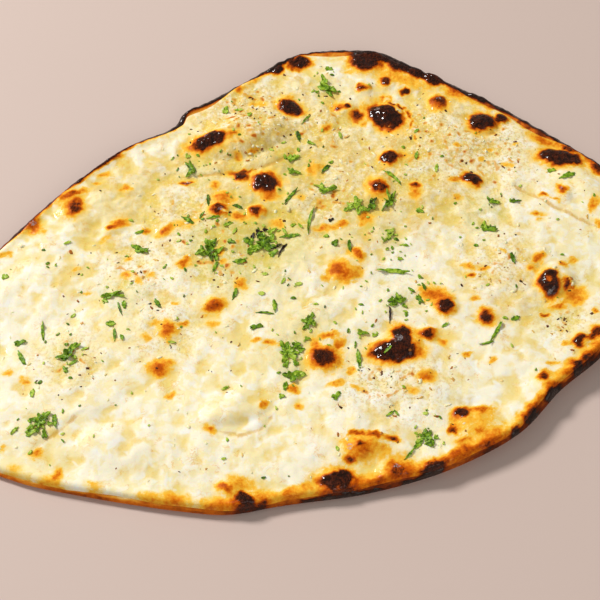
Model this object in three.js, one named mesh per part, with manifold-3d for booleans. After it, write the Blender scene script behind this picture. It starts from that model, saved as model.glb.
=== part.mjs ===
// Cheese garlic naan: a large flat tandoor bread with a thin charred edge, under a skin of melted
// cheese that has puffed and blistered, strewn with chopped coriander.
// Millimetres, +Z up. The bread lies on Z = 0, and its box is centred on X = 0 and Y = 0.
import * as THREE from "three";
import { mergeVertices } from "three/addons/utils/BufferGeometryUtils.js";
import Module from "manifold-3d";

const wasm = await Module();
wasm.setup();

// Driving sizes
const naanLength = 354; // along X
const naanWidth = 269; // along Y
const breadThickness = 5.6; // in the middle, where it hasn't puffed
const edgeThickness = 3.8; // of the crisp edge
const edgeRounding = 3; // how far in the edge's rounding reaches
const edgeRoll = 1.1; // how far the edge stands up as a roll
const cheeseThickness = 1.7;
const cheeseLip = 0.6; // thickness of the cheese at its own margin
const cheeseMargin = 4.2; // how far the cheese stops short of the bread's edge
const layerGap = 0.3; // between the bread and the cheese, and under a leaf
const leafThickness = 0.6;
const leafWave = 0.25; // how far a leaf's outline rises and falls
const scrapSink = 0.25; // how deep a chopped scrap lies in the cheese
const slopeReach = 4; // how far to each side of a leaf the cheese's slope is taken

// How finely each surface is split
const edgeCount = 168; // points round the edge
const innerRings = 11; // rings of the hidden face between bread and cheese
const innerSpokes = 7; // points that each of those rings adds
const cheeseRings = 24;
const lobePoints = 3; // points on the outline of a leaf for each of its lobes and its stalk
const scrapSides = 6; // points on a scrap's outline
const leafRaise = 0.15; // step in which a leaf is raised to lie clear
const smallestEdge = 0.01; // shorter edges are merged after the join
const undersideRings = [[0.93, 90], [0.8, 60], [0.55, 30], [0.25, 12]]; // share of the way out, points

// The edge as seen from above, counter-clockwise from the far peak.
const edgePoints = [
  [28, 134], [10, 133.5], [-8, 129], [-29, 114], [-50, 99], [-66, 88.5], [-70, 80.5], [-93, 67.5],
  [-110, 53], [-126, 37], [-153, 4], [-170, -22], [-177, -54], [-171, -85], [-157, -107], [-131, -119],
  [-100, -126], [-56, -133], [-35, -134.5], [-12, -130.5], [28, -124.5], [65, -114], [97, -97],
  [118, -75.5], [140, -57], [160, -30], [175, 0], [174, 31], [154, 55], [129, 76], [97, 99], [57, 123],
  [42, 132],
];

// Where the bread has puffed. steep is the side, in degrees, where the puff ends in a fold.
const puffs = [
  { name: "steam pocket", at: [-33, 71], size: [31, 21], turn: 20, rise: 6.5, steep: -72 },
  { name: "right flap", at: [147, 38], size: [30, 17], turn: -36, rise: 3.6, steep: -126 },
  { name: "eye", at: [121, -16], size: [13, 13], turn: 20, rise: 3.4, steep: 150 },
  { name: "belly", at: [-33, -86], size: [21, 12], turn: 8, rise: 3.2, steep: -75 },
  { name: "front left cushion", at: [-88, -104], size: [34, 18], turn: -8, rise: 2.8, steep: 135 },
  { name: "front right bubble", at: [77, -93], size: [15, 10], turn: 12, rise: 3, steep: 170 },
  { name: "front bubble", at: [26, -105], size: [15, 9], turn: 6, rise: 3, steep: 180 },
  { name: "left swell", at: [-128, -22], size: [32, 26], turn: 30, rise: 2, steep: -60 },
  { name: "far swell", at: [66, 72], size: [34, 24], turn: -30, rise: 1.8, steep: -120 },
  { name: "middle swell", at: [20, -38], size: [36, 22], turn: 15, rise: 1.6, steep: -80 },
  { name: "near right swell", at: [96, -58], size: [24, 18], turn: 40, rise: 1.6, steep: -40 },
];

// Blisters that stand up from the cheese: x, y, half length, half width, turn in degrees, rise.
const cheeseBlisters = [
  [-51, 68, 12, 5, 22, 1.6], [-9, 92, 8, 6, -30, 2.2], [22, 90, 7, 6, -10, 1.8], [43, 86, 10, 9, -30, 3],
  [70, 94, 6, 7, 0, 2], [94, 80, 8, 8, 0, 2.6], [104, 83, 4, 4, 0, 1.2], [44, 108, 5, 5, 0, 1.4],
  [31, 104, 5, 4, 0, 1.1], [45, 58, 6, 6, 0, 1.9], [-21, 42, 10, 9, -20, 2.4], [-33, 46, 5, 4, 0, 1.3],
  [-42, 33, 6, 5, 0, 1.2], [-45, 25, 7, 5, 0, 1.7], [-25, 24, 6, 5, 0, 1.8], [37, 40, 8, 8, 0, 1.7],
  [86, 44, 6, 5, -20, 1.7], [132, 35, 4, 6, 0, 1.3], [133, 57, 13, 7, -10, 2.4], [19, -11, 10, 8, 40, 1.5],
  [25, -2, 5, 4, 0, 1.2], [-120, 27, 9, 10, 0, 1.7], [-96, 14, 7, 4, 20, 1], [-70, 14, 7, 5, 0, 0.8],
  [-45, -30, 7, 5, 0, 1.4], [-66, -45, 6, 8, -30, 1.2], [-68, -64, 7, 6, 0, 0.9], [8, -59, 9, 9, 0, 2.6],
  [43, -52, 13, 9, 10, 3], [58, -46, 6, 5, 0, 1.4], [67, -31, 7, 7, 0, 2.2], [86, -37, 5, 5, 0, 1.7],
  [118, -18, 7, 9, 10, 1.8], [127, -17, 4, 5, 0, 1.2], [71, -88, 5, 5, 0, 1.2], [21, -106, 7, 6, 0, 1.4],
  [12, -119, 9, 5, 0, 1.8], [38, -116, 8, 6, 0, 1.6], [-35, -124, 7, 5, 0, 1.3], [110, -73, 5, 5, 0, 1.3],
  [130, -50, 5, 5, 0, 1.6],
];

// Beads of burnt dough on the bread's edge, in the same form.
const edgeBeads = [
  [-16, 120, 6, 4, 50, 1.4], [-5, 125, 8, 5, 25, 1.6], [34, 127, 10, 6, -5, 2], [54, 121, 5, 4, -30, 1.5],
  [61, 117, 5, 4, -30, 1.7], [70, 112, 6, 4, -30, 1.7], [94, 98, 8, 4, -35, 1.4], [150, 52, 7, 4, -40, 1.4],
  [-62, 88, 8, 4, 30, 1.3], [-138, 16, 7, 4, 50, 1.2], [-30, -131, 6, 4, -15, 1.3], [13, -126, 9, 3, 8, 1.1],
  [58, -116, 9, 3, 20, 1.1], [113, -79, 5, 4, 40, 1.4], [128, -66, 7, 4, 40, 1.3], [138, -52, 6, 5, 50, 1.2],
];

// Coriander leaves that lie whole on the cheese: x, y, length, width, turn in degrees, lobes.
const leaves = [
  [10, 105, 14, 7, -25, 3], [-8, 57, 8, 6, 10, 3], [-7, 48.5, 8, 4, 0, 3], [-59, 50, 10, 5, 110, 3],
  [25, 26.5, 10, 8, 80, 5], [33.5, 27, 9, 5, 95, 3], [43, 29, 14, 4, 72, 3], [-22, 5, 13, 11, -40, 5],
  [-48, 0.5, 13, 7, 75, 5], [-83, 1, 9, 5, -15, 3], [9.5, 37, 12, 5, 10, 3], [42, -11.5, 15, 3, -4, 1],
  [44, -28, 9, 6, 15, 5], [-95, -25.5, 11, 4, 25, 3], [-112, -57, 12, 6, 65, 3], [-8.5, -56, 11, 8, 100, 5],
  [-6.5, -69, 10, 7, 40, 3], [1, -40, 8, 6, -10, 5], [-122, -93, 10, 8, 60, 5], [54, -100, 8, 7, 40, 5],
  [90, 14, 10, 5, -15, 3], [95, 30.5, 7, 4, -10, 3],
];

// Chopped scraps that have sunk into the cheese, in the same form.
const scraps = [
  [-43, 88, 8, 5, 80, 3], [-30, 84, 5, 3, 80, 1], [12, 118, 6, 4, -20, 3], [2, 68, 7, 3, -25, 3],
  [-4, 72, 7, 3, 100, 1], [10, 51, 7, 3, 50, 1], [57.5, 59, 5, 2.5, 80, 1], [44.5, 45.5, 13, 2.4, -45, 1],
  [57, 25, 6, 4, -20, 3], [-60, 19.5, 8, 3, -35, 1], [-40, 16, 7, 3, 25, 3], [-8, 33, 12, 2.4, 55, 1],
  [2, 18, 18, 2.2, 80, 1], [-38, 6, 6, 4, -20, 3], [-9, 9, 9, 2.6, 5, 1], [14, 4, 6, 5, 60, 3],
  [-33, -5.5, 7, 3.5, 10, 1], [-45, -9, 7, 2.4, 70, 1], [-35, -24, 7, 2.6, 75, 1], [21.5, 3, 7, 2.6, 95, 1],
  [-148, -15, 5, 5, 0, 3], [-137, -51, 8, 5, 20, 3], [-126, -45, 11, 2, 98, 1], [-134.5, -59, 9, 3, -60, 1],
  [-94, -41, 5, 4, 0, 1], [-91.5, -47, 7, 2, 95, 1], [-25, -43, 9, 4, 10, 3], [-15.5, -31, 7, 3, 95, 1],
  [26, -45.5, 8, 4, -5, 3], [24.5, -60, 11, 3, 95, 1], [54.5, -26.5, 7, 4, -60, 3], [90, -46, 14, 2.4, 60, 1],
  [13, -79.5, 7, 5, 40, 3], [-12, -79, 4, 4, 0, 3], [50, -103.5, 6, 3, 40, 1], [134, 44.5, 9, 4, 18, 1],
  [126, 49, 6, 4, 0, 3], [106, 31, 8, 3, 5, 3], [102, -4, 7, 3, 100, 1], [100, -38, 5, 3, 20, 1],
  [-127, -78, 5, 3, 90, 1], [-115, -92, 7, 3, 100, 1], [-88, -31, 5, 3, 100, 1], [-72, -30, 6, 3, 120, 1],
];

const radians = THREE.MathUtils.degToRad;
const ease = THREE.MathUtils.smoothstep;

// The edge as a closed curve, stretched to the driving length and width.
const rawPoints = edgePoints.map(([x, y]) => new THREE.Vector3(x, y, 0));
const rawEdge = new THREE.CatmullRomCurve3(rawPoints, true, "centripetal");
const rawBox = new THREE.Box3().setFromPoints(rawEdge.getPoints(2000));
const rawSize = rawBox.getSize(new THREE.Vector3());
const rawCentre = rawBox.getCenter(new THREE.Vector3());
const stretch = new THREE.Vector3(naanLength / rawSize.x, naanWidth / rawSize.y, 0);
const edgeCurve = new THREE.CatmullRomCurve3(
  edgePoints.map(([x, y]) => new THREE.Vector3(x, y, 0).sub(rawCentre).multiply(stretch)),
  true,
  "centripetal",
);
edgeCurve.arcLengthDivisions = 2000;

// The edge's point at t, from 0 to 1 round the bread.
function edgeAt(t) {
  return edgeCurve.getPointAt(t - Math.floor(t));
}

// Radial length that one millimetre of width takes at t, where the edge runs slantwise to the radius.
function slant(t) {
  const tangent = edgeCurve.getTangentAt(t - Math.floor(t));
  const outward = edgeAt(t).normalize();
  return 1 / Math.max(0.5, Math.abs(outward.x * tangent.y - outward.y * tangent.x));
}

// The point that lies depth millimetres inside the edge, on the spoke to t.
function insideEdge(t, depth) {
  const edge = edgeAt(t);
  return edge.multiplyScalar(1 - (depth * slant(t)) / edge.length());
}

// How far the cheese's margin lies inside the bread's edge at t: it wanders, and is least at the near left.
function marginAt(t) {
  const turn = 2 * Math.PI * t;
  const wander = 1 + 0.28 * Math.sin(9 * turn + 1) + 0.18 * Math.sin(23 * turn);
  return cheeseMargin * wander * (1 - 0.35 * ease(Math.cos(turn - radians(170)), 0.2, 1));
}

// Share of a rounded profile reached at depth, from 0 at the edge to 1 past the rounding.
function rounding(depth, reach) {
  const left = 1 - Math.min(depth / reach, 1);
  return Math.sqrt(1 - left * left);
}

// Elliptical distance from a spot's middle, 1 on its outline.
function spotDistance(x, y, at, size, turn) {
  const dx = x - at[0];
  const dy = y - at[1];
  const c = Math.cos(radians(turn));
  const s = Math.sin(radians(turn));
  return Math.hypot((dx * c + dy * s) / size[0], (dy * c - dx * s) / size[1]);
}

// Height that the puffs add, each a dome that is pushed towards its steep side.
function puffHeight(x, y) {
  let height = 0;
  for (const puff of puffs) {
    const direction = radians(puff.steep);
    const along = (x - puff.at[0]) * Math.cos(direction) + (y - puff.at[1]) * Math.sin(direction);
    const squeeze = 1 + 0.7 * ease(along, 0, Math.min(...puff.size));
    const q = spotDistance(x, y, puff.at, puff.size, puff.turn) * squeeze;
    height += q < 1 ? puff.rise * (1 - q * q) ** 1.5 : 0;
  }
  return height;
}

// Height of the tallest blister of the list at a point.
function blisterHeight(x, y, list) {
  let height = 0;
  for (const [bx, by, a, b, turn, rise] of list) {
    const q = spotDistance(x, y, [bx, by], [a, b], turn);
    if (q < 1) height = Math.max(height, rise * (1 - q * q));
  }
  return height;
}

// The slow waves of the dough, and the finer ripple of the melted cheese.
function waves(x, y) {
  return 0.8 * Math.sin(x / 24 + 1.1) * Math.sin(y / 19 + 0.4) + 0.45 * Math.sin(x / 13 - y / 17);
}

function ripple(x, y) {
  return 0.4 * Math.sin(x / 5.1 + 1.7 * Math.sin(y / 9)) * Math.sin(y / 6.3 + 1.3 * Math.sin(x / 11));
}

// How far the edge is lifted off the table at a point: most at the right, a little at the far left.
function lift(x, y, depth) {
  const turn = Math.atan2(y, x);
  const right = 4.5 * ease(Math.cos(turn - radians(-25)), 0.55, 1);
  const left = 2 * ease(Math.cos(turn - radians(150)), 0.4, 1);
  const far = 1.6 * ease(Math.cos(turn - radians(70)), 0.5, 1);
  return (0.5 + right + left + far) * (1 - ease(depth, 0, 34));
}

// Top of the bread. share is how much of the puffs' height the bread itself takes.
function breadTop(x, y, depth, share) {
  const middle = ease(depth, 2, 28);
  const thickness = edgeThickness + (breadThickness - edgeThickness) * middle;
  const waist = 0.45 * edgeThickness;
  const roll = edgeRoll * Math.exp(-(((depth - 3.4) / 2.4) ** 2));
  const bead = blisterHeight(x, y, edgeBeads) * (1 - ease(depth, 3, 7));
  const body = (thickness - waist + roll + bead) * rounding(depth, edgeRounding);
  return lift(x, y, depth) + waist + body + middle * (waves(x, y) + share * puffHeight(x, y));
}

function breadBottom(x, y, depth) {
  return lift(x, y, depth) + 0.45 * edgeThickness * (1 - rounding(depth, edgeRounding));
}

// Top of the cheese. inMargin is the distance inside the cheese's own margin.
function cheeseTop(x, y, depth, inMargin) {
  const settle = ease(inMargin, 0, 6);
  const skin = cheeseLip + (cheeseThickness - cheeseLip) * rounding(inMargin, 3);
  const relief = settle * ripple(x, y) + blisterHeight(x, y, cheeseBlisters) * ease(inMargin, -1, 3);
  return breadTop(x, y, depth, 1) + layerGap + skin + relief;
}

// Closes a body from rings of points that run from the middle of its top, over the edge, to the middle
// of its underside. Neighbouring rings may have different counts.
function ringBody(rings) {
  const positions = [];
  const triangles = [];
  const starts = rings.map((ring) => {
    const start = positions.length / 3;
    ring.forEach((point) => positions.push(...point));
    return start;
  });
  for (let k = 0; k + 1 < rings.length; k++) {
    const [m, n] = [rings[k].length, rings[k + 1].length];
    const [a, b] = [starts[k], starts[k + 1]];
    let i = 0;
    let j = 0;
    while (i < m || j < n) {
      const ahead = (i + 1) * n - (j + 1) * m; // which ring's next point comes first
      const firstRing = j === n || (i < m && (ahead < 0 || (ahead === 0 && m > n)));
      const next = firstRing ? a + ((i + 1) % m) : b + ((j + 1) % n);
      if ((firstRing ? m : n) > 1) triangles.push(a + (i % m), b + (j % n), next);
      if (firstRing) i++;
      else j++;
    }
  }
  const geometry = new THREE.BufferGeometry();
  geometry.setAttribute("position", new THREE.Float32BufferAttribute(positions, 3));
  geometry.setIndex(triangles);
  return geometry;
}

// A ring of count points, each given by place(t).
function ringOf(count, place) {
  return Array.from({ length: count }, (_, i) => place(i / count));
}

// The rings of the hidden face that bread and cheese share, from the middle out, raised by up.
function sharedRings(up) {
  const rings = [];
  for (let k = 0; k <= innerRings; k++) {
    const count = k === innerRings ? edgeCount : Math.max(1, innerSpokes * k);
    rings.push(
      ringOf(count, (t) => {
        const reach = insideEdge(t, marginAt(t));
        const { x, y } = reach.clone().multiplyScalar(k / innerRings);
        const depth = marginAt(t) + ((1 - k / innerRings) * reach.length()) / slant(t);
        return [x, y, breadTop(x, y, depth, 0.5) + up];
      }),
    );
  }
  return rings;
}

function makeBread() {
  const rings = sharedRings(0);
  for (const share of [0.72, 0.42, 0.16, 0]) {
    rings.push(
      ringOf(edgeCount, (t) => {
        const depth = marginAt(t) * share;
        const { x, y } = insideEdge(t, depth);
        return [x, y, breadTop(x, y, depth, 0.5)];
      }),
    );
  }
  rings.push(
    ringOf(edgeCount, (t) => {
      const { x, y } = insideEdge(t, edgeRounding);
      return [x, y, breadBottom(x, y, edgeRounding)];
    }),
  );
  for (const [share, count] of undersideRings) {
    rings.push(
      ringOf(count, (t) => {
        const edge = edgeAt(t);
        const { x, y } = edge.clone().multiplyScalar(share);
        return [x, y, breadBottom(x, y, ((1 - share) * edge.length()) / slant(t))];
      }),
    );
  }
  rings.push([[0, 0, 0]]);
  return ringBody(rings);
}

function makeCheese() {
  const rings = [];
  for (let k = 0; k <= cheeseRings; k++) {
    const count = k === 0 ? 1 : Math.round((edgeCount * k) / cheeseRings);
    rings.push(
      ringOf(count, (t) => {
        const reach = insideEdge(t, marginAt(t));
        const { x, y } = reach.clone().multiplyScalar(k / cheeseRings);
        const inMargin = ((1 - k / cheeseRings) * reach.length()) / slant(t);
        return [x, y, cheeseTop(x, y, marginAt(t) + inMargin, inMargin)];
      }),
    );
  }
  return ringBody([...rings, ...sharedRings(layerGap).reverse()]);
}

// A geometry as a manifold solid, and back.
function toSolid(geometry) {
  const merged = mergeVertices(geometry, 1e-4);
  return new wasm.Manifold(
    new wasm.Mesh({
      numProp: 3,
      vertProperties: merged.getAttribute("position").array,
      triVerts: new Uint32Array(merged.index.array),
    }),
  );
}

function toGeometry(solid) {
  const { vertProperties, triVerts } = solid.getMesh();
  const geometry = new THREE.BufferGeometry();
  geometry.setAttribute("position", new THREE.BufferAttribute(vertProperties, 3));
  geometry.setIndex(new THREE.BufferAttribute(triVerts, 1));
  return geometry;
}

// The height of a mesh's top face at a point.
function surfaceHeight(mesh, x, y) {
  const ray = new THREE.Raycaster(new THREE.Vector3(x, y, 100), new THREE.Vector3(0, 0, -1));
  return ray.intersectObject(mesh)[0].point.z;
}

// A thin wavy leaf on the surface, both faces split alike. sides is the number of points on its outline,
// and bed is how its underside lies to the surface: above it, or sunk into it.
function makeLeaf(surface, [x, y, length, width, turn, lobes], sides, bed) {
  const c = Math.cos(radians(turn));
  const s = Math.sin(radians(turn));
  const place = (t, reach) => {
    const angle = 2 * Math.PI * t;
    const lobe = 1 - (lobes > 1 ? 0.22 * (1 - Math.cos(lobes * angle)) : 0);
    const px = (reach * lobe * length * Math.cos(angle)) / 2;
    const py = (reach * lobe * width * Math.sin(angle)) / 2;
    return [x + px * c - py * s, y + px * s + py * c];
  };
  const heightBy = (dx, dy) => surfaceHeight(surface, x + dx, y + dy);
  const slopeX = (heightBy(slopeReach, 0) - heightBy(-slopeReach, 0)) / (2 * slopeReach);
  const slopeY = (heightBy(0, slopeReach) - heightBy(0, -slopeReach)) / (2 * slopeReach);
  const tilt = (px, py) => (px - x) * slopeX + (py - y) * slopeY;
  const touching = [0, 0.5, 0.95].flatMap((reach) => ringOf(8, (t) => {
    const [px, py] = place(t, reach);
    return surfaceHeight(surface, px, py) - tilt(px, py);
  }));
  const base = Math.max(...touching) + bed;
  const face = (t, reach, up) => {
    const [px, py] = place(t, reach);
    return [px, py, base + tilt(px, py) + up + leafWave * reach * Math.sin(6 * Math.PI * t + x)];
  };
  const rings = [leafThickness, 0].flatMap((up) => {
    const faceRings = [
      [face(0, 0, up)],
      ringOf(Math.ceil(sides / 2), (t) => face(t, 0.5, up)),
      ringOf(sides, (t) => face(t, 1, up)),
    ];
    return up ? faceRings : faceRings.reverse();
  });
  return ringBody(rings);
}

// The largest of the closed shells that make up a solid: loose crumbs are dropped and hollows are filled.
function largestShell(solid) {
  return solid.decompose().sort((a, b) => b.volume() - a.volume())[0];
}

const naan = new THREE.Group();

function addNode(name, geometry, colour, roughness) {
  const look = { color: colour, roughness, metalness: 0, flatShading: true };
  const mesh = new THREE.Mesh(geometry, new THREE.MeshStandardMaterial(look));
  mesh.name = name;
  naan.add(mesh);
}

addNode("bread", makeBread(), 0xd9964a, 0.75);

const bareCheese = new THREE.Mesh(makeCheese(), new THREE.MeshBasicMaterial());
const strewn = scraps.reduce(
  (solid, scrap) => solid.add(toSolid(makeLeaf(bareCheese, scrap, scrapSides, -scrapSink))),
  toSolid(bareCheese.geometry),
);
const cheeseSolid = largestShell(strewn).simplify(smallestEdge);
addNode("cheese", toGeometry(cheeseSolid), 0xf3e3b4, 0.45);

// Each leaf is raised until it lies clear of the cheese and its scraps by the gap.
const keptClear = cheeseSolid.translate([0, 0, layerGap]);
leaves.forEach((leaf, i) => {
  let solid = toSolid(makeLeaf(bareCheese, leaf, lobePoints * leaf[5] + lobePoints, leafWave));
  while (solid.intersect(keptClear).volume() > 0) solid = solid.translate([0, 0, leafRaise]);
  addNode(`coriander_leaf_${String(i + 1).padStart(2, "0")}`, toGeometry(solid), 0x4f8a2c, 0.5);
});

export default naan;
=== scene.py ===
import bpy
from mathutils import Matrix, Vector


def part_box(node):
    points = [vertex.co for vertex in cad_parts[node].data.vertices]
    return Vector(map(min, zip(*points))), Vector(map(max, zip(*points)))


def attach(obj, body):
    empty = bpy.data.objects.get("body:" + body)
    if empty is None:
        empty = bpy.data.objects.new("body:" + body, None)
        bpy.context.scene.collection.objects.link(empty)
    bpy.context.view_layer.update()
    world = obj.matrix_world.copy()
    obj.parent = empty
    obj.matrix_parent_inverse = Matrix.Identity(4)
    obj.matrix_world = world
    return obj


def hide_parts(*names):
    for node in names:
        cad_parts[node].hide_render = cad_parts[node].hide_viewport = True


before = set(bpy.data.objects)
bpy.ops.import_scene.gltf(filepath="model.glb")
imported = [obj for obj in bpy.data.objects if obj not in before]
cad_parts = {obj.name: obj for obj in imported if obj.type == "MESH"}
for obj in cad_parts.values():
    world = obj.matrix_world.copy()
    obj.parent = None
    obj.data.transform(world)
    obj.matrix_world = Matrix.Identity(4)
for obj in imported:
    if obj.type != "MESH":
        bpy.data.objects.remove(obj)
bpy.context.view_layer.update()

import math
import random

import bmesh
import bpy
import numpy as np
from mathutils import Vector, noise

# Sizes and places are in millimetres, with +X to the right and +Y to the far side, and become metres
# when a mesh is written.
mm = 0.001
random.seed(27)
print("frame loaded")

lowest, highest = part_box("bread")
naan = {
    "length": (highest.x - lowest.x) / mm,
    "width": (highest.y - lowest.y) / mm,
    "breadThickness": 5.6,  # in the middle, where it hasn't puffed
    "edgeThickness": 3.8,
    "edgeRounding": 3.0,
    "edgeRoll": 1.1,
    "waistShare": 0.45,  # how high in the edge its outline lies
    # How the edge lifts off the table: rise, bearing, and the cosine from that bearing where it starts.
    "lifts": ((4.5, -25, 0.55), (2, 150, 0.4), (1.6, 70, 0.5)),
    "leastLift": 0.5,
    "liftReach": 34,
    "cheeseThickness": 1.7,
    "cheeseLip": -0.3,
    "cheeseMargin": 4.2,  # how far the cheese stops short of the bread's edge
    "layerGap": 0.3,
    "foldLipShare": 0.7,
    "foldGrooveShare": 0.32,
    "edge": [  # seen from above, anticlockwise from the far peak
        (28, 134), (10, 133.5), (-8, 129), (-29, 114), (-50, 99), (-66, 88.5), (-70, 80.5), (-93, 67.5),
        (-110, 53), (-126, 37), (-153, 4), (-170, -22), (-177, -54), (-171, -85), (-157, -107), (-131, -119),
        (-100, -126), (-56, -133), (-35, -134.5), (-12, -130.5), (28, -124.5), (65, -114), (97, -97),
        (118, -75.5), (140, -57), (160, -30), (175, 0), (174, 31), (154, 55), (129, 76), (97, 99), (57, 123),
        (42, 132),
    ],
}

scorching = {
    "coreHeat": 1.06,
    "coreFade": (0.36, 1.36),  # shares of the mark's size
    "haloHeat": 0.22,
    "haloFade": (1, 2),
    "haloReach": 2.4,
    "toast": 0.16,  # of the whole edge
    "strongerToast": 0.42,  # at the right and the front
    "unevenToast": 0.4,
    "toastFade": (3, 10),
    "crust": (0.55, 0.95),  # the heat over which the cheese gets a crackled crust
    "domeHeat": 0.5,  # a hotter mark is a blister, where it isn't smaller than domeSize
    "domeSize": 2.2,
    "domeShare": 0.1,  # how high it stands, for its width
    "domeGrowth": 1.15,
    "domeReach": 1.3,
}

# Noise in layers: share, size and seed of each layer.
noiseLayers = {
    "curd": ((0.7, 8.5, 2.2), (0.32, 4.1, 4.4), (0.12, 2.5, 6.1)),
    "wanderX": ((1.9, 5.5, 3.1), (1.3, 2.4, 5.7)),
    "wanderY": ((1.9, 5.5, 9.4), (1.3, 2.4, 1.9)),
    "topToast": ((0.3, 12, 3.5), (0.2, 4, 7.5)),
    "underPatches": ((1, 26, 2.5), (0.6, 9, 4.5)),
    "underSpots": ((1, 7, 6.5), (0.4, 3, 8.5)),
    "doughGrain": ((0.22, 3.4, 1.5), (0.12, 1.5, 3.9)),
    "rimLumps": ((0.9, 4.6, 5.2), (0.5, 2.4, 7.2)),
}

# Where the bread has puffed: middle, half sizes, turn, rise, and the side in degrees where it ends in a fold.
puffs = [
    ((-33, 71), (31, 21), 20, 6.5, -72),
    ((147, 38), (30, 17), -36, 3.6, -126),
    ((121, -16), (13, 13), 20, 3.4, 150),
    ((-33, -86), (21, 12), 8, 3.2, -75),
    ((-88, -104), (34, 18), -8, 2.8, 135),
    ((77, -93), (15, 10), 12, 3, 170),
    ((26, -105), (15, 9), 6, 3, 180),
    ((-128, -22), (32, 26), 30, 2, -60),
    ((66, 72), (34, 24), -30, 1.8, -120),
    ((20, -38), (36, 22), 15, 1.6, -80),
    ((96, -58), (24, 18), 40, 1.6, -40),
]

# Blisters of the cheese: x, y, half length, half width, rise, and the turn where there is one.
cheeseBlisters = [
    (-51, 68, 12, 5, 1.6, 22), (-9, 92, 8, 6, 2.2, -30), (22, 90, 7, 6, 1.8, -10), (43, 86, 10, 9, 3, -30),
    (70, 94, 6, 7, 2), (94, 80, 8, 8, 2.6), (104, 83, 4, 4, 1.2), (44, 108, 5, 5, 1.4), (31, 104, 5, 4, 1.1),
    (45, 58, 6, 6, 1.9), (-21, 42, 10, 9, 1.4, -20), (-33, 46, 5, 4, 1.3), (-42, 33, 6, 5, 1.2),
    (-45, 25, 7, 5, 1.7), (-25, 24, 6, 5, 1.8), (37, 40, 8, 8, 1.7), (86, 44, 6, 5, 1.7, -20),
    (132, 35, 4, 6, 1.3), (133, 57, 13, 7, 2.4, -10), (19, -11, 10, 8, 1.5, 40), (25, -2, 5, 4, 1.2),
    (-120, 27, 9, 10, 1.7), (-96, 14, 7, 4, 1, 20), (-70, 14, 7, 5, 0.8), (-45, -30, 7, 5, 1.4),
    (-66, -45, 6, 8, 1.2, -30), (-68, -64, 7, 6, 0.9), (8, -59, 9, 9, 2.6), (43, -52, 13, 9, 3, 10),
    (58, -46, 6, 5, 1.4), (67, -31, 7, 7, 2.2), (86, -37, 5, 5, 1.7), (118, -18, 7, 9, 1.8, 10),
    (127, -17, 4, 5, 1.2), (71, -88, 5, 5, 1.2), (21, -106, 7, 6, 1.4), (12, -119, 9, 5, 1.8),
    (38, -116, 8, 6, 1.6), (-35, -124, 7, 5, 1.3), (110, -73, 5, 5, 1.3), (130, -50, 5, 5, 1.6),
]

# Beads of burnt dough on the bread's edge, in the same form.
edgeBeads = [
    (-16, 120, 6, 4, 1.4, 50), (-5, 125, 8, 5, 1.6, 25), (34, 127, 10, 6, 2, -5), (54, 121, 5, 4, 1.5, -30),
    (61, 117, 5, 4, 1.7, -30), (70, 112, 6, 4, 1.7, -30), (94, 98, 8, 4, 1.4, -35), (150, 52, 7, 4, 1.4, -40),
    (-62, 88, 8, 4, 1.3, 30), (-138, 16, 7, 4, 1.2, 50), (-30, -131, 6, 4, 1.3, -15),
    (13, -126, 9, 3, 1.1, 8), (58, -116, 9, 3, 1.1, 20), (113, -79, 5, 4, 1.4, 40), (128, -66, 7, 4, 1.3, 40),
    (138, -52, 6, 5, 1.2, 50),
]

# Folds: points from left to right, rise of the lip on the far side, depth of the groove.
folds = [
    ([(-55, 47), (-45, 48), (-30, 50), (-17, 54), (-12, 58), (-6, 62)], 0.9, 1.2),
    ([(108, 40), (119, 33), (126, 27), (132, 24), (138, 20), (149, 14), (156, 8)], 1.9, 1.9),
    ([(112, -12), (115, -6), (118, -2)], 0.6, 0.8),
    ([(-123, -104), (-113, -96), (-106, -89)], 0.7, 0.8),
    ([(-40, -96), (-30, -98), (-21, -95), (-17, -90)], 0.5, 0.8),
    ([(88, 3), (97, 0), (104, -3)], 0.4, 0.5),
    ([(53, 81), (56, 76), (58, 70), (58, 65)], 0.2, 0.7),
]

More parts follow.
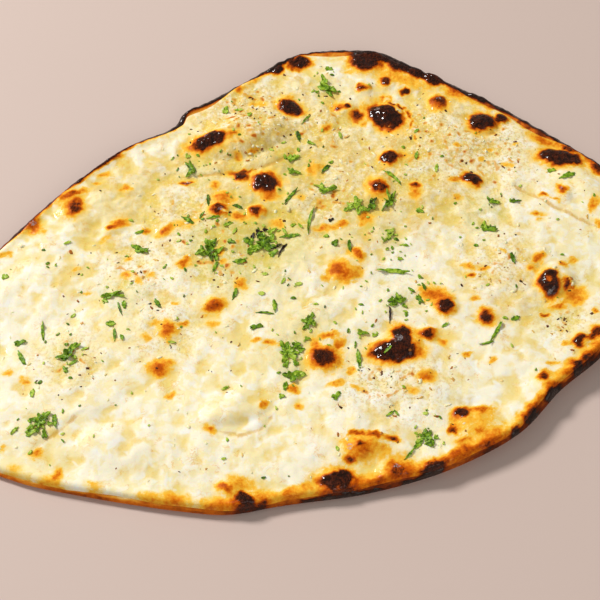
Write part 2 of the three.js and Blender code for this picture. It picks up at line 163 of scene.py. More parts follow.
# Scorch marks of the cheese: x, y, half length, half width, heat, and the turn where there is one.
# A heat of 0.4 is orange, 0.7 brown, 1 black.
scorchMarks = [
    (-36, 103, 4, 3, 0.6, 30), (-28, 110, 2, 1.6, 0.7), (-24, 115, 2.5, 1.6, 0.6, 30),
    (-16, 118, 4, 5, 1, -30), (-4, 122, 8, 5, 0.95, 10), (33, 124, 10, 9, 1.05, -10),
    (50, 120, 7, 5, 0.9, -25), (60, 115, 5, 5, 0.85), (69, 111, 6, 6, 0.9), (50, 112, 26, 7, 0.4, -26),
    (82, 101, 16, 6, 0.45, -34), (-51, 66, 12.5, 5.4, 1, 13), (-38, 69.5, 5, 2.4, 0.5, 12),
    (-8, 91, 8, 5, 1, -26), (-9, 98, 5, 5, 0.38), (-25, 93, 6, 2.5, 0.42), (-27, 61, 4.5, 2.5, 0.45, 20),
    (-36, 58, 4, 3, 0.45, -60), (31, 104, 4.5, 3, 0.8), (43, 109, 4.5, 4.5, 0.82), (24, 115, 5, 3, 0.3),
    (43, 97, 4, 3.4, 0.54), (42, 85, 11.5, 7.2, 1.12, -42), (49.5, 86.5, 4.6, 4.6, 0.62),
    (46, 93, 3, 1.2, 0.86, -30), (51, 91, 2.6, 1.2, 0.8, -35), (55, 86, 1.3, 4, 0.7, 15),
    (56, 79, 1.6, 4, 0.66, -20), (57, 70, 1.6, 3, 0.5), (53, 102, 3.2, 2.4, 0.82), (16.5, 91, 2.4, 2.2, 0.8),
    (21.5, 92.5, 2.9, 2.4, 0.86), (27, 87, 3.8, 5, 0.7, -20), (18, 92, 7, 4.5, 0.5, -5),
    (27, 87, 5.5, 6.8, 0.48, -20), (30, 81, 2.6, 4, 0.46, -20), (71, 94, 6.5, 6.5, 0.75),
    (70, 90, 7, 7, 0.35), (93, 80, 8, 7, 1.08, 10), (104, 83, 4.5, 3.5, 0.95), (11, 78, 3.5, 2.6, 0.52),
    (79, 65, 3.5, 2.4, 0.42), (43, 57.5, 5.5, 5, 1), (50, 59, 6, 4, 0.5, 15), (5, 52, 8, 6, 0.36, 20),
    (2, 49, 3, 2.4, 0.45), (113, 82, 2, 1.5, 0.6), (118, 78, 2.4, 1.5, 0.6, -30), (124, 70, 12, 5, 0.48, -36),
    (132, 57, 12.5, 6, 1.1, -15), (137, 64, 5, 2.5, 0.8, -30), (152, 50, 5, 6, 0.8, 60), (95, 63, 3, 2, 0.38),
    (92, 56.5, 3, 2, 0.32, 30), (110, 66, 3, 2.2, 0.35), (104, 54, 3.5, 3, 0.36), (-33, 46, 5, 3.4, 0.9, 10),
    (-21, 41.5, 9, 7.4, 0.98, -15), (-19, 34, 6, 5, 0.5), (-62, 42.5, 4.5, 2.8, 0.75),
    (-47, 40, 3.5, 2.6, 0.46), (-42, 32, 7, 5, 0.52, -20), (-44, 25, 6.5, 4.5, 0.79, -15),
    (-25.5, 24, 4.8, 4.6, 0.77), (-34, 22, 6, 4, 0.48), (-15, 17, 6, 4, 0.42), (-3, 33, 4, 3, 0.34),
    (-71, 12, 7, 3.5, 0.58, 45), (-62, 17, 13, 6, 0.27, 25), (-81, 13, 4, 3, 0.5),
    (-60, -6, 5.5, 3.5, 0.6, 35), (-43, 1, 3.5, 3, 0.46), (-41, -6, 2.6, 2, 0.42),
    (-32, -19, 3.5, 6, 0.5, 20), (-94, 16.5, 6, 4.2, 0.56, 15), (-98, 14.5, 3, 2, 0.66),
    (-101, 8, 6, 2, 0.32, 50), (-104.5, 47, 3.4, 2.8, 0.46, 15), (-107, 41, 4, 1.6, 0.36, 15),
    (-92, 38.5, 3.8, 3.8, 0.48), (-97, 58, 5, 2, 0.45, 35), (-137, 15, 5, 7, 0.6, 40),
    (-119, 33.5, 9.5, 2.6, 0.64, 26), (-117.5, 26, 5.4, 7.2, 0.76, -10), (-120, 28, 8, 8, 0.4),
    (-125, 22, 2, 2.4, 0.42), (-131, 11, 2, 3, 0.3), (-150, -2, 4, 3, 0.42), (-88, -5, 3, 2.2, 0.42),
    (-88, -14, 4, 3, 0.46), (-82, -17, 3.5, 2.4, 0.42, -40), (-76, -14, 2.8, 2.4, 0.36),
    (-113, -10.5, 3, 2, 0.4), (-106.5, -23.5, 3, 2, 0.34), (37, 39, 5.5, 5.5, 0.78), (36, 38, 8.5, 10, 0.42),
    (56, 36, 5, 7, 0.46), (56, 41, 4.5, 2.2, 0.72), (85.5, 44.5, 6, 4.5, 1, -28), (77, 45, 5, 2.4, 0.5, 10),
    (77, 33, 5, 4, 0.36), (10, 14, 9, 2.2, 0.46, 5), (18, 15, 5, 3, 0.48), (30, 20, 5, 5, 0.46),
    (27, 16, 4, 3, 0.38), (16, -11, 7, 8, 0.62, 30), (22, -13, 9, 6, 0.46, 30), (25, -2, 5, 4, 0.64, -20),
    (10, -15, 5, 2.6, 0.42), (80, -8, 6, 2.4, 0.48, -10), (87, -10, 4, 2, 0.44), (79.5, -14, 3, 2, 0.7),
    (61, -25, 9, 6, 0.52, -25), (67, -32.5, 4.3, 5.5, 1.05), (66, -28, 8, 10, 0.46, 20),
    (81, -27, 3.5, 2.8, 0.46), (130, 37, 3, 4, 0.7), (145.5, 27, 3.5, 6, 0.46, -20),
    (117.5, 23, 6, 2.2, 0.44, -5), (118, 18.5, 4, 1.8, 0.36), (115, -4, 4, 3, 0.58, 60),
    (111, -9.5, 3, 3.4, 0.54), (132, -3.5, 3.4, 2.6, 0.5), (127, -7.5, 3.4, 2.6, 0.5),
    (118, -19.5, 5.6, 8.2, 1.08, 6), (126.5, -19.5, 2.4, 4, 0.88), (130, -20, 1.8, 1.4, 0.7),
    (130, -25, 8.5, 8, 0.48), (122, -30, 7, 3.6, 0.58, 12), (-45, -31, 8, 5, 0.66, 25),
    (-64, -30, 3, 2.2, 0.36), (-73, -40.5, 4, 3, 0.46), (-59, -41, 3, 2.4, 0.46), (-66, -45, 6, 7, 0.62, 15),
    (-76, -47.5, 3.4, 2.6, 0.4), (-45, -41, 3.5, 4.5, 0.4), (-69, -64, 7.5, 6.5, 0.6, 20),
    (-63, -78, 3, 2.2, 0.4), (-24, -50, 3.5, 2, 0.46, 10), (-17, -51, 4, 2, 0.48), (-12, -52, 3, 2, 0.4),
    (-20, -84, 2.6, 3.6, 0.5), (-44, -96, 4, 2.4, 0.5, -20), (-6, -75, 4.5, 2.8, 0.52),
    (-3, -84, 3, 2.4, 0.46), (8.5, -59, 8, 7, 0.86), (8.5, -58.5, 10.4, 9.4, 0.52),
    (4.5, -51.5, 2.6, 4, 0.52, 10), (10, -46.8, 6.5, 2.2, 0.52), (15.5, -51.5, 2.6, 4.5, 0.52, -10),
    (20, -66, 3.4, 2.6, 0.5), (14, -72, 7, 2.4, 0.4, 15), (24, -75, 4, 2, 0.4, -20),
    (41, -56.5, 12, 5.8, 1.1, 4), (45.5, -48.5, 5.6, 7.6, 1.02, 10), (35, -53, 6, 4, 0.74),
    (52, -54, 6, 7, 0.5), (58, -46.5, 6, 3.2, 0.82, 8), (64, -50, 4, 2.4, 0.5, -50),
    (86, -37.5, 5, 4.8, 0.84), (87, -61, 3.4, 2.6, 0.5), (76, -57.5, 3, 2, 0.46), (56, -69, 7, 4, 0.5, 5),
    (50, -76, 4.5, 3.4, 0.36), (25, -105.5, 12.5, 8, 0.5), (22, -98.2, 5, 1.8, 0.66, 6),
    (31, -98.7, 7, 1.7, 0.7, -6), (38.5, -101, 4.4, 2.2, 0.74, -12), (19.5, -110, 4.2, 2.8, 0.78, -10),
    (24, -103.2, 3.2, 1.5, 0.74), (35, -106.5, 4, 4, 0.42), (76, -93, 15, 10.5, 0.36, 14),
    (71, -87.5, 4.6, 3.4, 0.9, 15), (66, -96, 3, 2.4, 0.78, 20), (80, -86.5, 8, 3, 0.58, 5),
    (79, -97, 6, 3, 0.5, 10), (70, -102, 5, 2.4, 0.54, 10), (68, -90, 5, 5, 0.48),
    (110, -71, 4.6, 3.2, 0.76, 40), (113, -79, 6, 4.4, 1, 45), (126, -65.5, 5, 3.4, 0.88, 40),
    (130, -60, 3, 2.6, 0.8), (129, -51, 4.4, 4.6, 0.86), (137, -47, 7, 3, 0.85, 48), (139, -34, 3, 2, 0.6),
    (115, -62.5, 3, 2.2, 0.44), (123, -52.5, 3.4, 2.6, 0.46), (115, -36, 2, 1.6, 0.7),
    (-36.5, -123.5, 5.4, 3.8, 0.64, -20), (-27.5, -128.8, 5.4, 3, 1.02, -12), (-30, -122, 10, 6, 0.42),
    (13, -120, 10, 4.6, 1.06, 4), (14, -118, 13, 7, 0.46, 4), (40, -116, 7, 5.6, 0.7, 10),
    (42, -113, 9, 7, 0.44, 10), (56, -115, 9, 4, 0.9, 20), (95, -98.5, 5, 3, 0.8, 35),
    (102, -90, 6, 3.4, 0.8, 40), (-112, -118, 3, 5, 0.6), (-122, -107.5, 4, 2.6, 0.5),
    (-140, -67, 4, 3, 0.42), (-131, -71, 3.4, 2.4, 0.42), (-138, -105, 4, 3, 0.34),
    (97, 0, 6, 1.4, 0.36, -20), (122, 33, 4, 1.6, 0.62, -20), (127, 30, 2.5, 1.2, 0.5, -20),
    (146, 17, 3.4, 1.4, 0.5, -45), (152, 12, 2.4, 2.4, 0.72), (-34, 49, 9, 1.9, 0.74, 8),
]

# Pale bubbles that have stayed light inside a scorch mark, in the same form, with how light for the heat.
paleBubbles = [
    (49.5, 88, 2.6, 2.4, 0.75), (-13, 38, 3.2, 2.8, 0.75), (117.5, -18, 2.2, 2.6, 0.4),
    (10, -50, 3.8, 1.8, 0.75), (43, 97, 2, 1.6, 0.75), (-59, 41, 2.4, 1.8, 0.75), (-42, 24, 2.2, 1.6, 0.75),
    (122, -28.5, 5, 1.3, 0.6, 20),
]

# Grey-white patches of painted glint on the char: x, y, half length, half width.
paintedGlintPatches = [
    (-61.5, 42.5, 3, 1.6), (-43.5, 25, 2.2, 1.6), (-53, 69, 3, 1.4), (38, 89, 2.4, 2), (71, 95.5, 2.6, 1.8),
    (130, 37, 2, 1.4), (43, -50, 4, 3), (19, -105, 2.2, 2.6), (-137, 16, 3, 2), (118, -24, 2.4, 1.4),
    (40, -114, 3, 1.6),
]

# Where the herbs lie thickest: x, y, spread.
herbPatches = [
    (-24, 8, 12), (-24, 8, 20), (-30, 6, 28), (26, 24, 14), (-5, -60, 12), (-114, -58, 11), (-122, -94, 9),
    (44, -30, 12), (-8, 54, 12), (-56, 50, 9), (42, 8, 5), (43, 9, 4), (-48, 2, 10), (-88, -25, 12),
    (54, -99, 6), (6, -42, 12), (90, 22, 14), (8, 106, 9),
]

# Where butter has soaked in, in the same form.
butterFields = [
    (-22, 62, 32), (-30, 70, 18), (20, 72, 32), (-28, 22, 24), (62, 50, 28), (28, 22, 20), (108, -24, 20),
    (-40, 90, 16), (-96, 30, 30), (70, 96, 16),
]

# Where small freckles lie thickest, in the same form.
freckleFields = [
    (82, 60, 26), (100, 66, 14), (-55, 22, 20), (-42, -4, 14), (50, -72, 14), (28, -72, 10), (8, 30, 16),
    (60, 78, 10), (-25, 88, 13), (-36, 72, 13), (-112, -60, 12), (-66, -44, 11), (10, 78, 16), (96, -8, 14),
    (-84, -12, 12), (124, -40, 10), (-34, 92, 14), (40, 44, 14),
]

# Stretches of scorched edge: from and to in degrees round the bread, how far in it reaches, heat.
edgeScorch = [
    (-10, 46, 3.6, 0.98), (44, 58, 5.2, 1.04), (56, 72, 8.4, 1.06), (70, 79, 9.4, 1.06), (78, 95, 3.4, 0.96),
    (92, 101, 5.6, 1), (99, 114, 3.2, 0.9), (112, 128, 4, 1), (127, 150, 4.2, 1), (149, 162, 4.6, 1),
    (161, 171, 3.6, 0.86), (170, 178, 4.2, 0.8), (176, 215, 2, 0.66), (212, 257, 0.7, 0.4),
    (228, 236, 0.9, 0.5), (256, 263, 2.4, 0.8), (262, 272, 0.8, 0.5), (268, 286, 0.9, 0.8),
    (284, 291, 1, 0.6), (289, 298, 1.1, 0.9), (297, 313, 0.9, 0.56), (306, 309, 1.4, 0.7),
    (312, 318, 1.6, 0.76), (317, 324, 0.9, 0.6), (323, 329, 2.2, 0.84), (328, 347, 1.2, 0.74),
    (346, 352, 1.4, 0.6),
]


def smooth(value, start, end):
    t = np.clip((value - start) / (end - start), 0, 1)
    return t * t * (3 - 2 * t)


def edgeTable(points, length, width, steps=60):
    # The closed curve through the points, as bearing, reach, slant and cheese margin all round.
    p1 = np.array(points, float)
    p0, p2, p3 = np.roll(p1, 1, 0), np.roll(p1, -1, 0), np.roll(p1, -2, 0)
    d0, d1, d2 = (np.sqrt(np.linalg.norm(b - a, axis=1))[:, None] for a, b in ((p0, p1), (p1, p2), (p2, p3)))
    leave = ((p1 - p0) / d0 - (p2 - p0) / (d0 + d1) + (p2 - p1) / d1) * d1
    reach = ((p2 - p1) / d1 - (p3 - p1) / (d1 + d2) + (p3 - p2) / d2) * d1
    s = (np.arange(steps) / steps)[None, :, None]
    powers = (p1, leave, 3 * (p2 - p1) - 2 * leave - reach, 2 * (p1 - p2) + leave + reach)
    a, b, c, d = (v[:, None, :] for v in powers)
    curve = (a + b * s + c * s**2 + d * s**3).reshape(-1, 2)
    curve -= (curve.min(0) + curve.max(0)) / 2
    curve *= np.array([length, width]) / np.ptp(curve, axis=0)
    along = np.roll(curve, -1, 0) - np.roll(curve, 1, 0)
    along /= np.linalg.norm(along, axis=1)[:, None]
    far = np.linalg.norm(curve, axis=1)
    outward = curve / far[:, None]
    stepLength = np.linalg.norm(np.roll(curve, -1, 0) - curve, axis=1)
    turn = 2 * np.pi * np.concatenate([[0], np.cumsum(stepLength)[:-1]]) / stepLength.sum()
    bearing = np.arctan2(curve[:, 1], curve[:, 0])
    # The cheese's margin wanders, and is narrowest at the left and the front.
    wander = 1 + 0.28 * np.sin(9 * turn + 1) + 0.18 * np.sin(23 * turn)
    left = smooth(np.cos(bearing - np.radians(160)), 0.8, 0.97)
    front = smooth(-np.sin(bearing), 0.05, 0.5)
    margin = naan["cheeseMargin"] * wander * (1 - 0.35 * smooth(np.cos(turn - np.radians(170)), 0.2, 1))
    return {
        "bearing": bearing,
        "reach": far,
        "slant": 1 / np.maximum(0.5, np.abs(outward[:, 0] * along[:, 1] - outward[:, 1] * along[:, 0])),
        "margin": margin * (1 - 0.5 * left - 0.5 * front),
    }


edge = edgeTable(naan["edge"], naan["length"], naan["width"])


def edgeAt(column, bearing):
    return np.interp(bearing, edge["bearing"], edge[column], period=2 * np.pi)


def insideEdge(x, y):
    # How many millimetres inside the bread's edge a point lies.
    bearing = np.arctan2(y, x)
    return (edgeAt("reach", bearing) - np.hypot(x, y)) / edgeAt("slant", bearing)


def spotDistance(x, y, at, size, turn=0):
    c, s = math.cos(math.radians(turn)), math.sin(math.radians(turn))
    dx, dy = x - at[0], y - at[1]
    return np.hypot((dx * c + dy * s) / size[0], (dy * c - dx * s) / size[1])


def noiseAt(x, y, size, seed=0.0):
    return np.array([noise.noise(Vector((a, b, seed))) for a, b in zip(x / size, y / size)])


def layered(name, x, y, start=0):
    # The start with layers of noise added.
    return sum((share * noiseAt(x, y, size, seed) for share, size, seed in noiseLayers[name]), start)


def puffHeight(x, y):
    height = np.zeros_like(x)
    for at, size, turn, rise, steep in puffs:
        direction = math.radians(steep)
        ahead = (x - at[0]) * math.cos(direction) + (y - at[1]) * math.sin(direction)
        q = spotDistance(x, y, at, size, turn) * (1 + 0.7 * smooth(ahead, 0, min(size)))
        height += rise * np.clip(1 - q * q, 0, None) ** 1.5
    return height


def blisterHeight(x, y, blisters):
    height = np.zeros_like(x)
    for bx, by, a, b, rise, *turn in blisters:
        q = spotDistance(x, y, (bx, by), (a, b), *turn)
        height = np.maximum(height, rise * (1 - q * q))
    return height


def foldLines(x, y):
    # For each fold: how far each place lies beyond its line and from it, its lip and its groove.
    for points, lip, groove in folds:
        nearest = np.full_like(x, np.inf)
        side = np.zeros_like(x)
        for (ax, ay), (bx, by) in zip(points, points[1:]):
            dx, dy = bx - ax, by - ay
            t = np.clip(((x - ax) * dx + (y - ay) * dy) / (dx * dx + dy * dy), 0, 1)
            away = np.hypot(x - ax - t * dx, y - ay - t * dy)
            closer = away < nearest
            side = np.where(closer, dx * (y - ay) - dy * (x - ax), side)
            nearest = np.where(closer, away, nearest)
        yield nearest * np.sign(side), nearest, lip, groove


def foldHeight(x, y):
    # The lip stands on the far side of the line, and the groove runs along it.
    height = np.zeros_like(x)
    for signed, nearest, lip, groove in foldLines(x, y):
        fade = np.exp(-((nearest / 9) ** 2))
        height += naan["foldLipShare"] * lip * smooth(signed, -0.6, 3.2) * fade
        past = (np.maximum(nearest - 1.5, 0) / 2) ** 2
        height -= naan["foldGrooveShare"] * groove * np.exp(-(((signed + 0.5) / 0.9) ** 2) - past)
    return height


# How much shade is painted along each fold's groove.
def paintedCreaseShadeAt(x, y):
    paintedCreaseShade = np.zeros_like(x)
    for signed, nearest, lip, groove in foldLines(x, y):
        band = np.exp(-(((signed + 0.6) / 1.5) ** 2) - (nearest / 3) ** 2)
        paintedCreaseShade = np.maximum(paintedCreaseShade, min(groove, 1) * band)
    return paintedCreaseShade


def liftHeight(x, y, depth):
    turn = np.arctan2(y, x)
    rises = (rise * smooth(np.cos(turn - math.radians(at)), start, 1) for rise, at, start in naan["lifts"])
    return sum(rises, naan["leastLift"]) * (1 - smooth(depth, 0, naan["liftReach"]))


def rounding(depth, reach):
    return np.sqrt(1 - (1 - np.clip(depth / reach, 0, 1)) ** 2)


def waveHeight(x, y):
    return 0.8 * np.sin(x / 24 + 1.1) * np.sin(y / 19 + 0.4) + 0.45 * np.sin(x / 13 - y / 17)


def rippleHeight(x, y):
    return 0.4 * np.sin(x / 5.1 + 1.7 * np.sin(y / 9)) * np.sin(y / 6.3 + 1.3 * np.sin(x / 11))


def breadTop(x, y, depth, share):
    middle = smooth(depth, 2, 28)
    thickness = naan["edgeThickness"] + (naan["breadThickness"] - naan["edgeThickness"]) * middle
    waist = naan["waistShare"] * naan["edgeThickness"]
    roll = naan["edgeRoll"] * np.exp(-(((depth - 3.4) / 2.4) ** 2))
    bead = blisterHeight(x, y, edgeBeads) * (1 - smooth(depth, 3, 7))
    body = (thickness - waist + roll + bead) * rounding(depth, naan["edgeRounding"])
    return liftHeight(x, y, depth) + waist + body + middle * (waveHeight(x, y) + share * puffHeight(x, y))


def breadBottom(x, y, depth):
    waist = naan["waistShare"] * naan["edgeThickness"]
    return liftHeight(x, y, depth) + waist * (1 - rounding(depth, naan["edgeRounding"]))


def eachMark(x, y, reach, growth=1):
    # For each scorch mark: its heat, lesser half size, the places near it, and how far out in it they lie.
    for sx, sy, a, b, heat, *turn in scorchMarks:
        near = (np.abs(x - sx) < reach * max(a, b)) & (np.abs(y - sy) < reach * max(a, b))
        yield heat, min(a, b), near, spotDistance(x[near], y[near], (sx, sy), (a * growth, b * growth), *turn)


def heatAt(x, y, depth):
    # Each mark is hottest in its middle. Its outline wanders, as scorching does.
    wx, wy = layered("wanderX", x, y, x), layered("wanderY", x, y, y)
    heat4 = np.zeros_like(x)
    coreStart, coreEnd = scorching["coreFade"]
    for heat, _, near, q in eachMark(wx, wy, scorching["haloReach"]):
        core = heat * scorching["coreHeat"] * (1 - smooth(q, coreStart * heat**2, coreEnd))
        halo = scorching["haloHeat"] * heat * (1 - smooth(q, *scorching["haloFade"]))
        heat4[near] += core**4 + halo**4
    bearing = np.degrees(np.arctan2(y, x)) % 360
    for start, end, reach, heat in edgeScorch:
        middle, half = (start + end) / 2, (end - start) / 2
        off = np.abs((bearing - middle + 180) % 360 - 180)
        ends = 1 - smooth(off, half - 1.5, half + 1.5)
        inward = depth + 0.9 * noiseAt(x, y, 4, 7.7)
        heat4 += (heat * ends * (1 - smooth(inward, 0.75 * reach, 1.1 * reach + 0.8))) ** 4
    # The whole edge is lightly toasted.
    strongest = smooth(np.cos(np.radians(bearing + 20)), -0.5, 0.4)
    toast = scorching["toast"] + scorching["strongerToast"] * strongest
    toast = np.clip(toast + scorching["unevenToast"] * noiseAt(x, y, 11, 4.9), 0, 1)
    inward = depth + 3 * noiseAt(x, y, 5, 6.3)
    heat4 += (toast * (1 - smooth(inward, *scorching["toastFade"]))) ** 4
    heat = np.minimum(heat4**0.25, 1)
    for px, py, a, b, light, *turn in paleBubbles:
        heat *= 1 - light * (1 - smooth(spotDistance(wx, wy, (px, py), (a, b), *turn), 0.6, 1.1))
    return heat


def coverAt(x, y, patches):
    # How densely a scatter covers each place, from 0 to 1.
    bare = np.ones_like(x)
    for px, py, spread in patches:
        bare *= 1 - 0.8 * np.exp(-((x - px) ** 2 + (y - py) ** 2) / (2 * spread**2))
    return 1 - bare


# Painted glints: how strongly a grey-white reflection is painted at each place.
def paintedGlintAt(x, y):
    ashAndGlint = np.zeros_like(x)
    for px, py, a, b in paintedGlintPatches:
        ashAndGlint = np.maximum(ashAndGlint, 1 - smooth(spotDistance(x, y, (px, py), (a, b), 15), 0.5, 1.2))
    return ashAndGlint


def curdHeight(x, y):
    # Soft lumps of melted cheese, a few millimetres across, and of garlic where the butter is.
    return layered("curd", x, y) + 0.5 * coverAt(x, y, butterFields) * noiseAt(x, y, 3.2, 8.1)


def domeHeight(x, y):
    # The hotter and larger marks are blisters that stand up.
    height = np.zeros_like(x)
    for heat, size, near, q in eachMark(x, y, scorching["domeReach"], scorching["domeGrowth"]):
        if heat > scorching["domeHeat"] and size > scorching["domeSize"]:
            dome = scorching["domeShare"] * size * np.clip(1 - q * q, 0, None) ** 1.3
            height[near] = np.maximum(height[near], dome)
    return height


def crustHeight(x, y, heat):
    # Crackled crust where the cheese has burnt.
    crackle = 1.1 * np.abs(noiseAt(x, y, 2.8, 6.6)) + 0.6 * noiseAt(x, y, 1.9, 8.8)
    return crackle * smooth(heat, *scorching["crust"])


def cheeseTop(x, y, heat=None):
    depth = insideEdge(x, y)
    inMargin = depth - edgeAt("margin", np.arctan2(y, x))
    lip = naan["cheeseLip"]
    skin = lip + (naan["cheeseThickness"] - lip) * rounding(inMargin, 3)
    bumps = np.maximum(blisterHeight(x, y, cheeseBlisters), domeHeight(x, y))
    relief = smooth(inMargin, 0, 6) * (rippleHeight(x, y) + foldHeight(x, y) + curdHeight(x, y))
    relief += bumps * smooth(inMargin, -1, 3)
    heat = heatAt(x, y, depth) if heat is None else heat
    relief += smooth(inMargin, 0, 2) * crustHeight(x, y, heat)
    return breadTop(x, y, depth, 1) + naan["layerGap"] + skin + relief


def linkPiece(name, mesh, columns, material, nodes=()):
    # Columns are the attributes that the material reads, by name.
    for column, values in columns.items():
        data = mesh.attributes.new(column, "FLOAT", "POINT").data
        data.foreach_set("value", np.asarray(values, np.float32))
    piece = bpy.data.objects.new(name, mesh)
    bpy.context.scene.collection.objects.link(piece)
    mesh.materials.append(material)
    mesh.polygons.foreach_set("use_smooth", [True] * len(mesh.polygons))
    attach(piece, "root")
    if nodes:
        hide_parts(*nodes)


def meshFrom(bm, name):
    mesh = bpy.data.meshes.new(name)
    bm.to_mesh(mesh)
    bm.free()
    return mesh


def grownRing(bm, rim, share):
    # The rim's edges extruded and scaled: the new edges and their outer vertices.
    made = bmesh.ops.extrude_edge_only(bm, edges=rim)["geom"]
    outer = [g for g in made if isinstance(g, bmesh.types.BMVert)]
    bmesh.ops.scale(bm, vec=(share, share, 1), verts=outer)
    return [g for g in made if isinstance(g, bmesh.types.BMEdge)], outer


def planOf(mesh):
    # X and Y of each vertex.
    flat = np.empty(len(mesh.vertices) * 3, np.float32)
    mesh.vertices.foreach_get("co", flat)
    return flat.reshape(-1, 3)[:, :2].astype(float).T


def setCoordinates(mesh, x, y, z):
    mesh.vertices.foreach_set("co", np.stack([x, y, z], 1).ravel() * mm)
    mesh.update()


# Shader expressions

def paint(*levels):
    # A screen colour of 0 to 255 as linear light.
    return (*(((v / 255 + 0.055) / 1.055) ** 2.4 if v > 10 else v / 255 / 12.92 for v in levels), 1)


class Wire:  # a node's output that can stand in a Python expression
    def __init__(self, finish, socket):
        self.finish = finish
        self.socket = socket

    def maths(self, operation, other):
        return self.finish.node("ShaderNodeMath", {"operation": operation}, {0: self, 1: other})

    def __add__(self, other):
        return self.maths("ADD", other)

    def __sub__(self, other):
        return self.maths("SUBTRACT", other)

    def __mul__(self, other):
        return self.maths("MULTIPLY", other)


class Finish:  # a material, its nodes, and its colours by name
    def __init__(self, name, colours):
        self.colours = {key: paint(*levels) for key, levels in colours.items()}
        self.material = bpy.data.materials.new(name)
        self.material.use_nodes = True
        self.tree = self.material.node_tree
        self.tree.nodes.clear()
        self.place = self.node("ShaderNodeTexCoord", output="Object")

    def node(self, kind, settings=None, sockets=None, output=0):
        made = self.tree.nodes.new(kind)
        for key, value in (settings or {}).items():
            if key == "stops":
                for stop, (position, colour) in enumerate(value):
                    spare = made.color_ramp.elements
                    element = spare[stop] if stop < 2 else spare.new(position)
                    element.position = position
                    element.color = self.colours[colour]
            else:
                setattr(made, key, value)
        for key, value in (sockets or {}).items():
            if isinstance(value, Wire):
                self.tree.links.new(value.socket, made.inputs[key])
            else:
                made.inputs[key].default_value = self.colours.get(value, value)
        return Wire(self, made.outputs[output]) if made.outputs else None

    def attribute(self, name):
        return self.node("ShaderNodeAttribute", {"attribute_name": name}, output="Fac")

    def grain(self, size, detail=2.0, roughness=0.5, distortion=0.0):
        # Noise whose lumps are about size millimetres across.
        sockets = {"Vector": self.place, "Scale": 1 / (size * mm), "Detail": detail}
        sockets.update({"Roughness": roughness, "Distortion": distortion})
        return self.node("ShaderNodeTexNoise", sockets=sockets)

    def between(self, value, start, end, low=0.0, high=1.0):
        settings = {"interpolation_type": "SMOOTHSTEP"}
        sockets = {"Value": value, "From Min": start, "From Max": end, "To Min": low, "To Max": high}
        return self.node("ShaderNodeMapRange", settings, sockets)

    def ramp(self, value, stops):
        return self.node("ShaderNodeValToRGB", {"stops": stops}, {"Fac": value})

    def mix(self, factor, first, second):
        return self.node("ShaderNodeMix", {"data_type": "RGBA"}, {0: factor, 6: first, 7: second}, output=2)

    def bump(self, height, distance, strength=1.0, normal=None):
        sockets = {"Height": height, "Distance": distance * mm, "Strength": strength}
        if normal:
            sockets["Normal"] = normal
        return self.node("ShaderNodeBump", sockets=sockets)

    def surface(self, **sockets):
        named = {key.replace("_", " "): value for key, value in sockets.items()}
        shader = self.node("ShaderNodeBsdfPrincipled", sockets=named)
        self.node("ShaderNodeOutputMaterial", sockets={"Surface": shader})
        return self.material


# Cheese

cheeseLook = {
    "cells": 300,  # squares along each side of the grid that is fitted to the outline
    "undersideShares": (0.985, 0.92, 0.7, 0.4, 0.02),
    "sunkMargin": -0.15,  # how the cheese's margin meets the bread
    "colours": {
        "cream": (253, 235, 181),
        "ivory": (255, 244, 215),
        # white of the painted highlights
        "highlightWhite": (255, 251, 238),
        "soaked": (229, 197, 104),
        "butter": (242, 208, 88),
        "herbButter": (206, 192, 62),
        "freckle": (234, 164, 26),
        "tan": (234, 176, 76),
        "shade": (222, 176, 78),
        "crumb": (216, 182, 96),
        "honey": (255, 209, 86),
        "gold": (252, 184, 50),
        "orange": (228, 124, 12),
        "rust": (190, 82, 2),
        "brown": (140, 56, 2),
        "umber": (90, 34, 2),
        "char": (46, 16, 2),
        "ember": (104, 40, 8),
        "ashAndGlint": (196, 186, 186),
    },
}


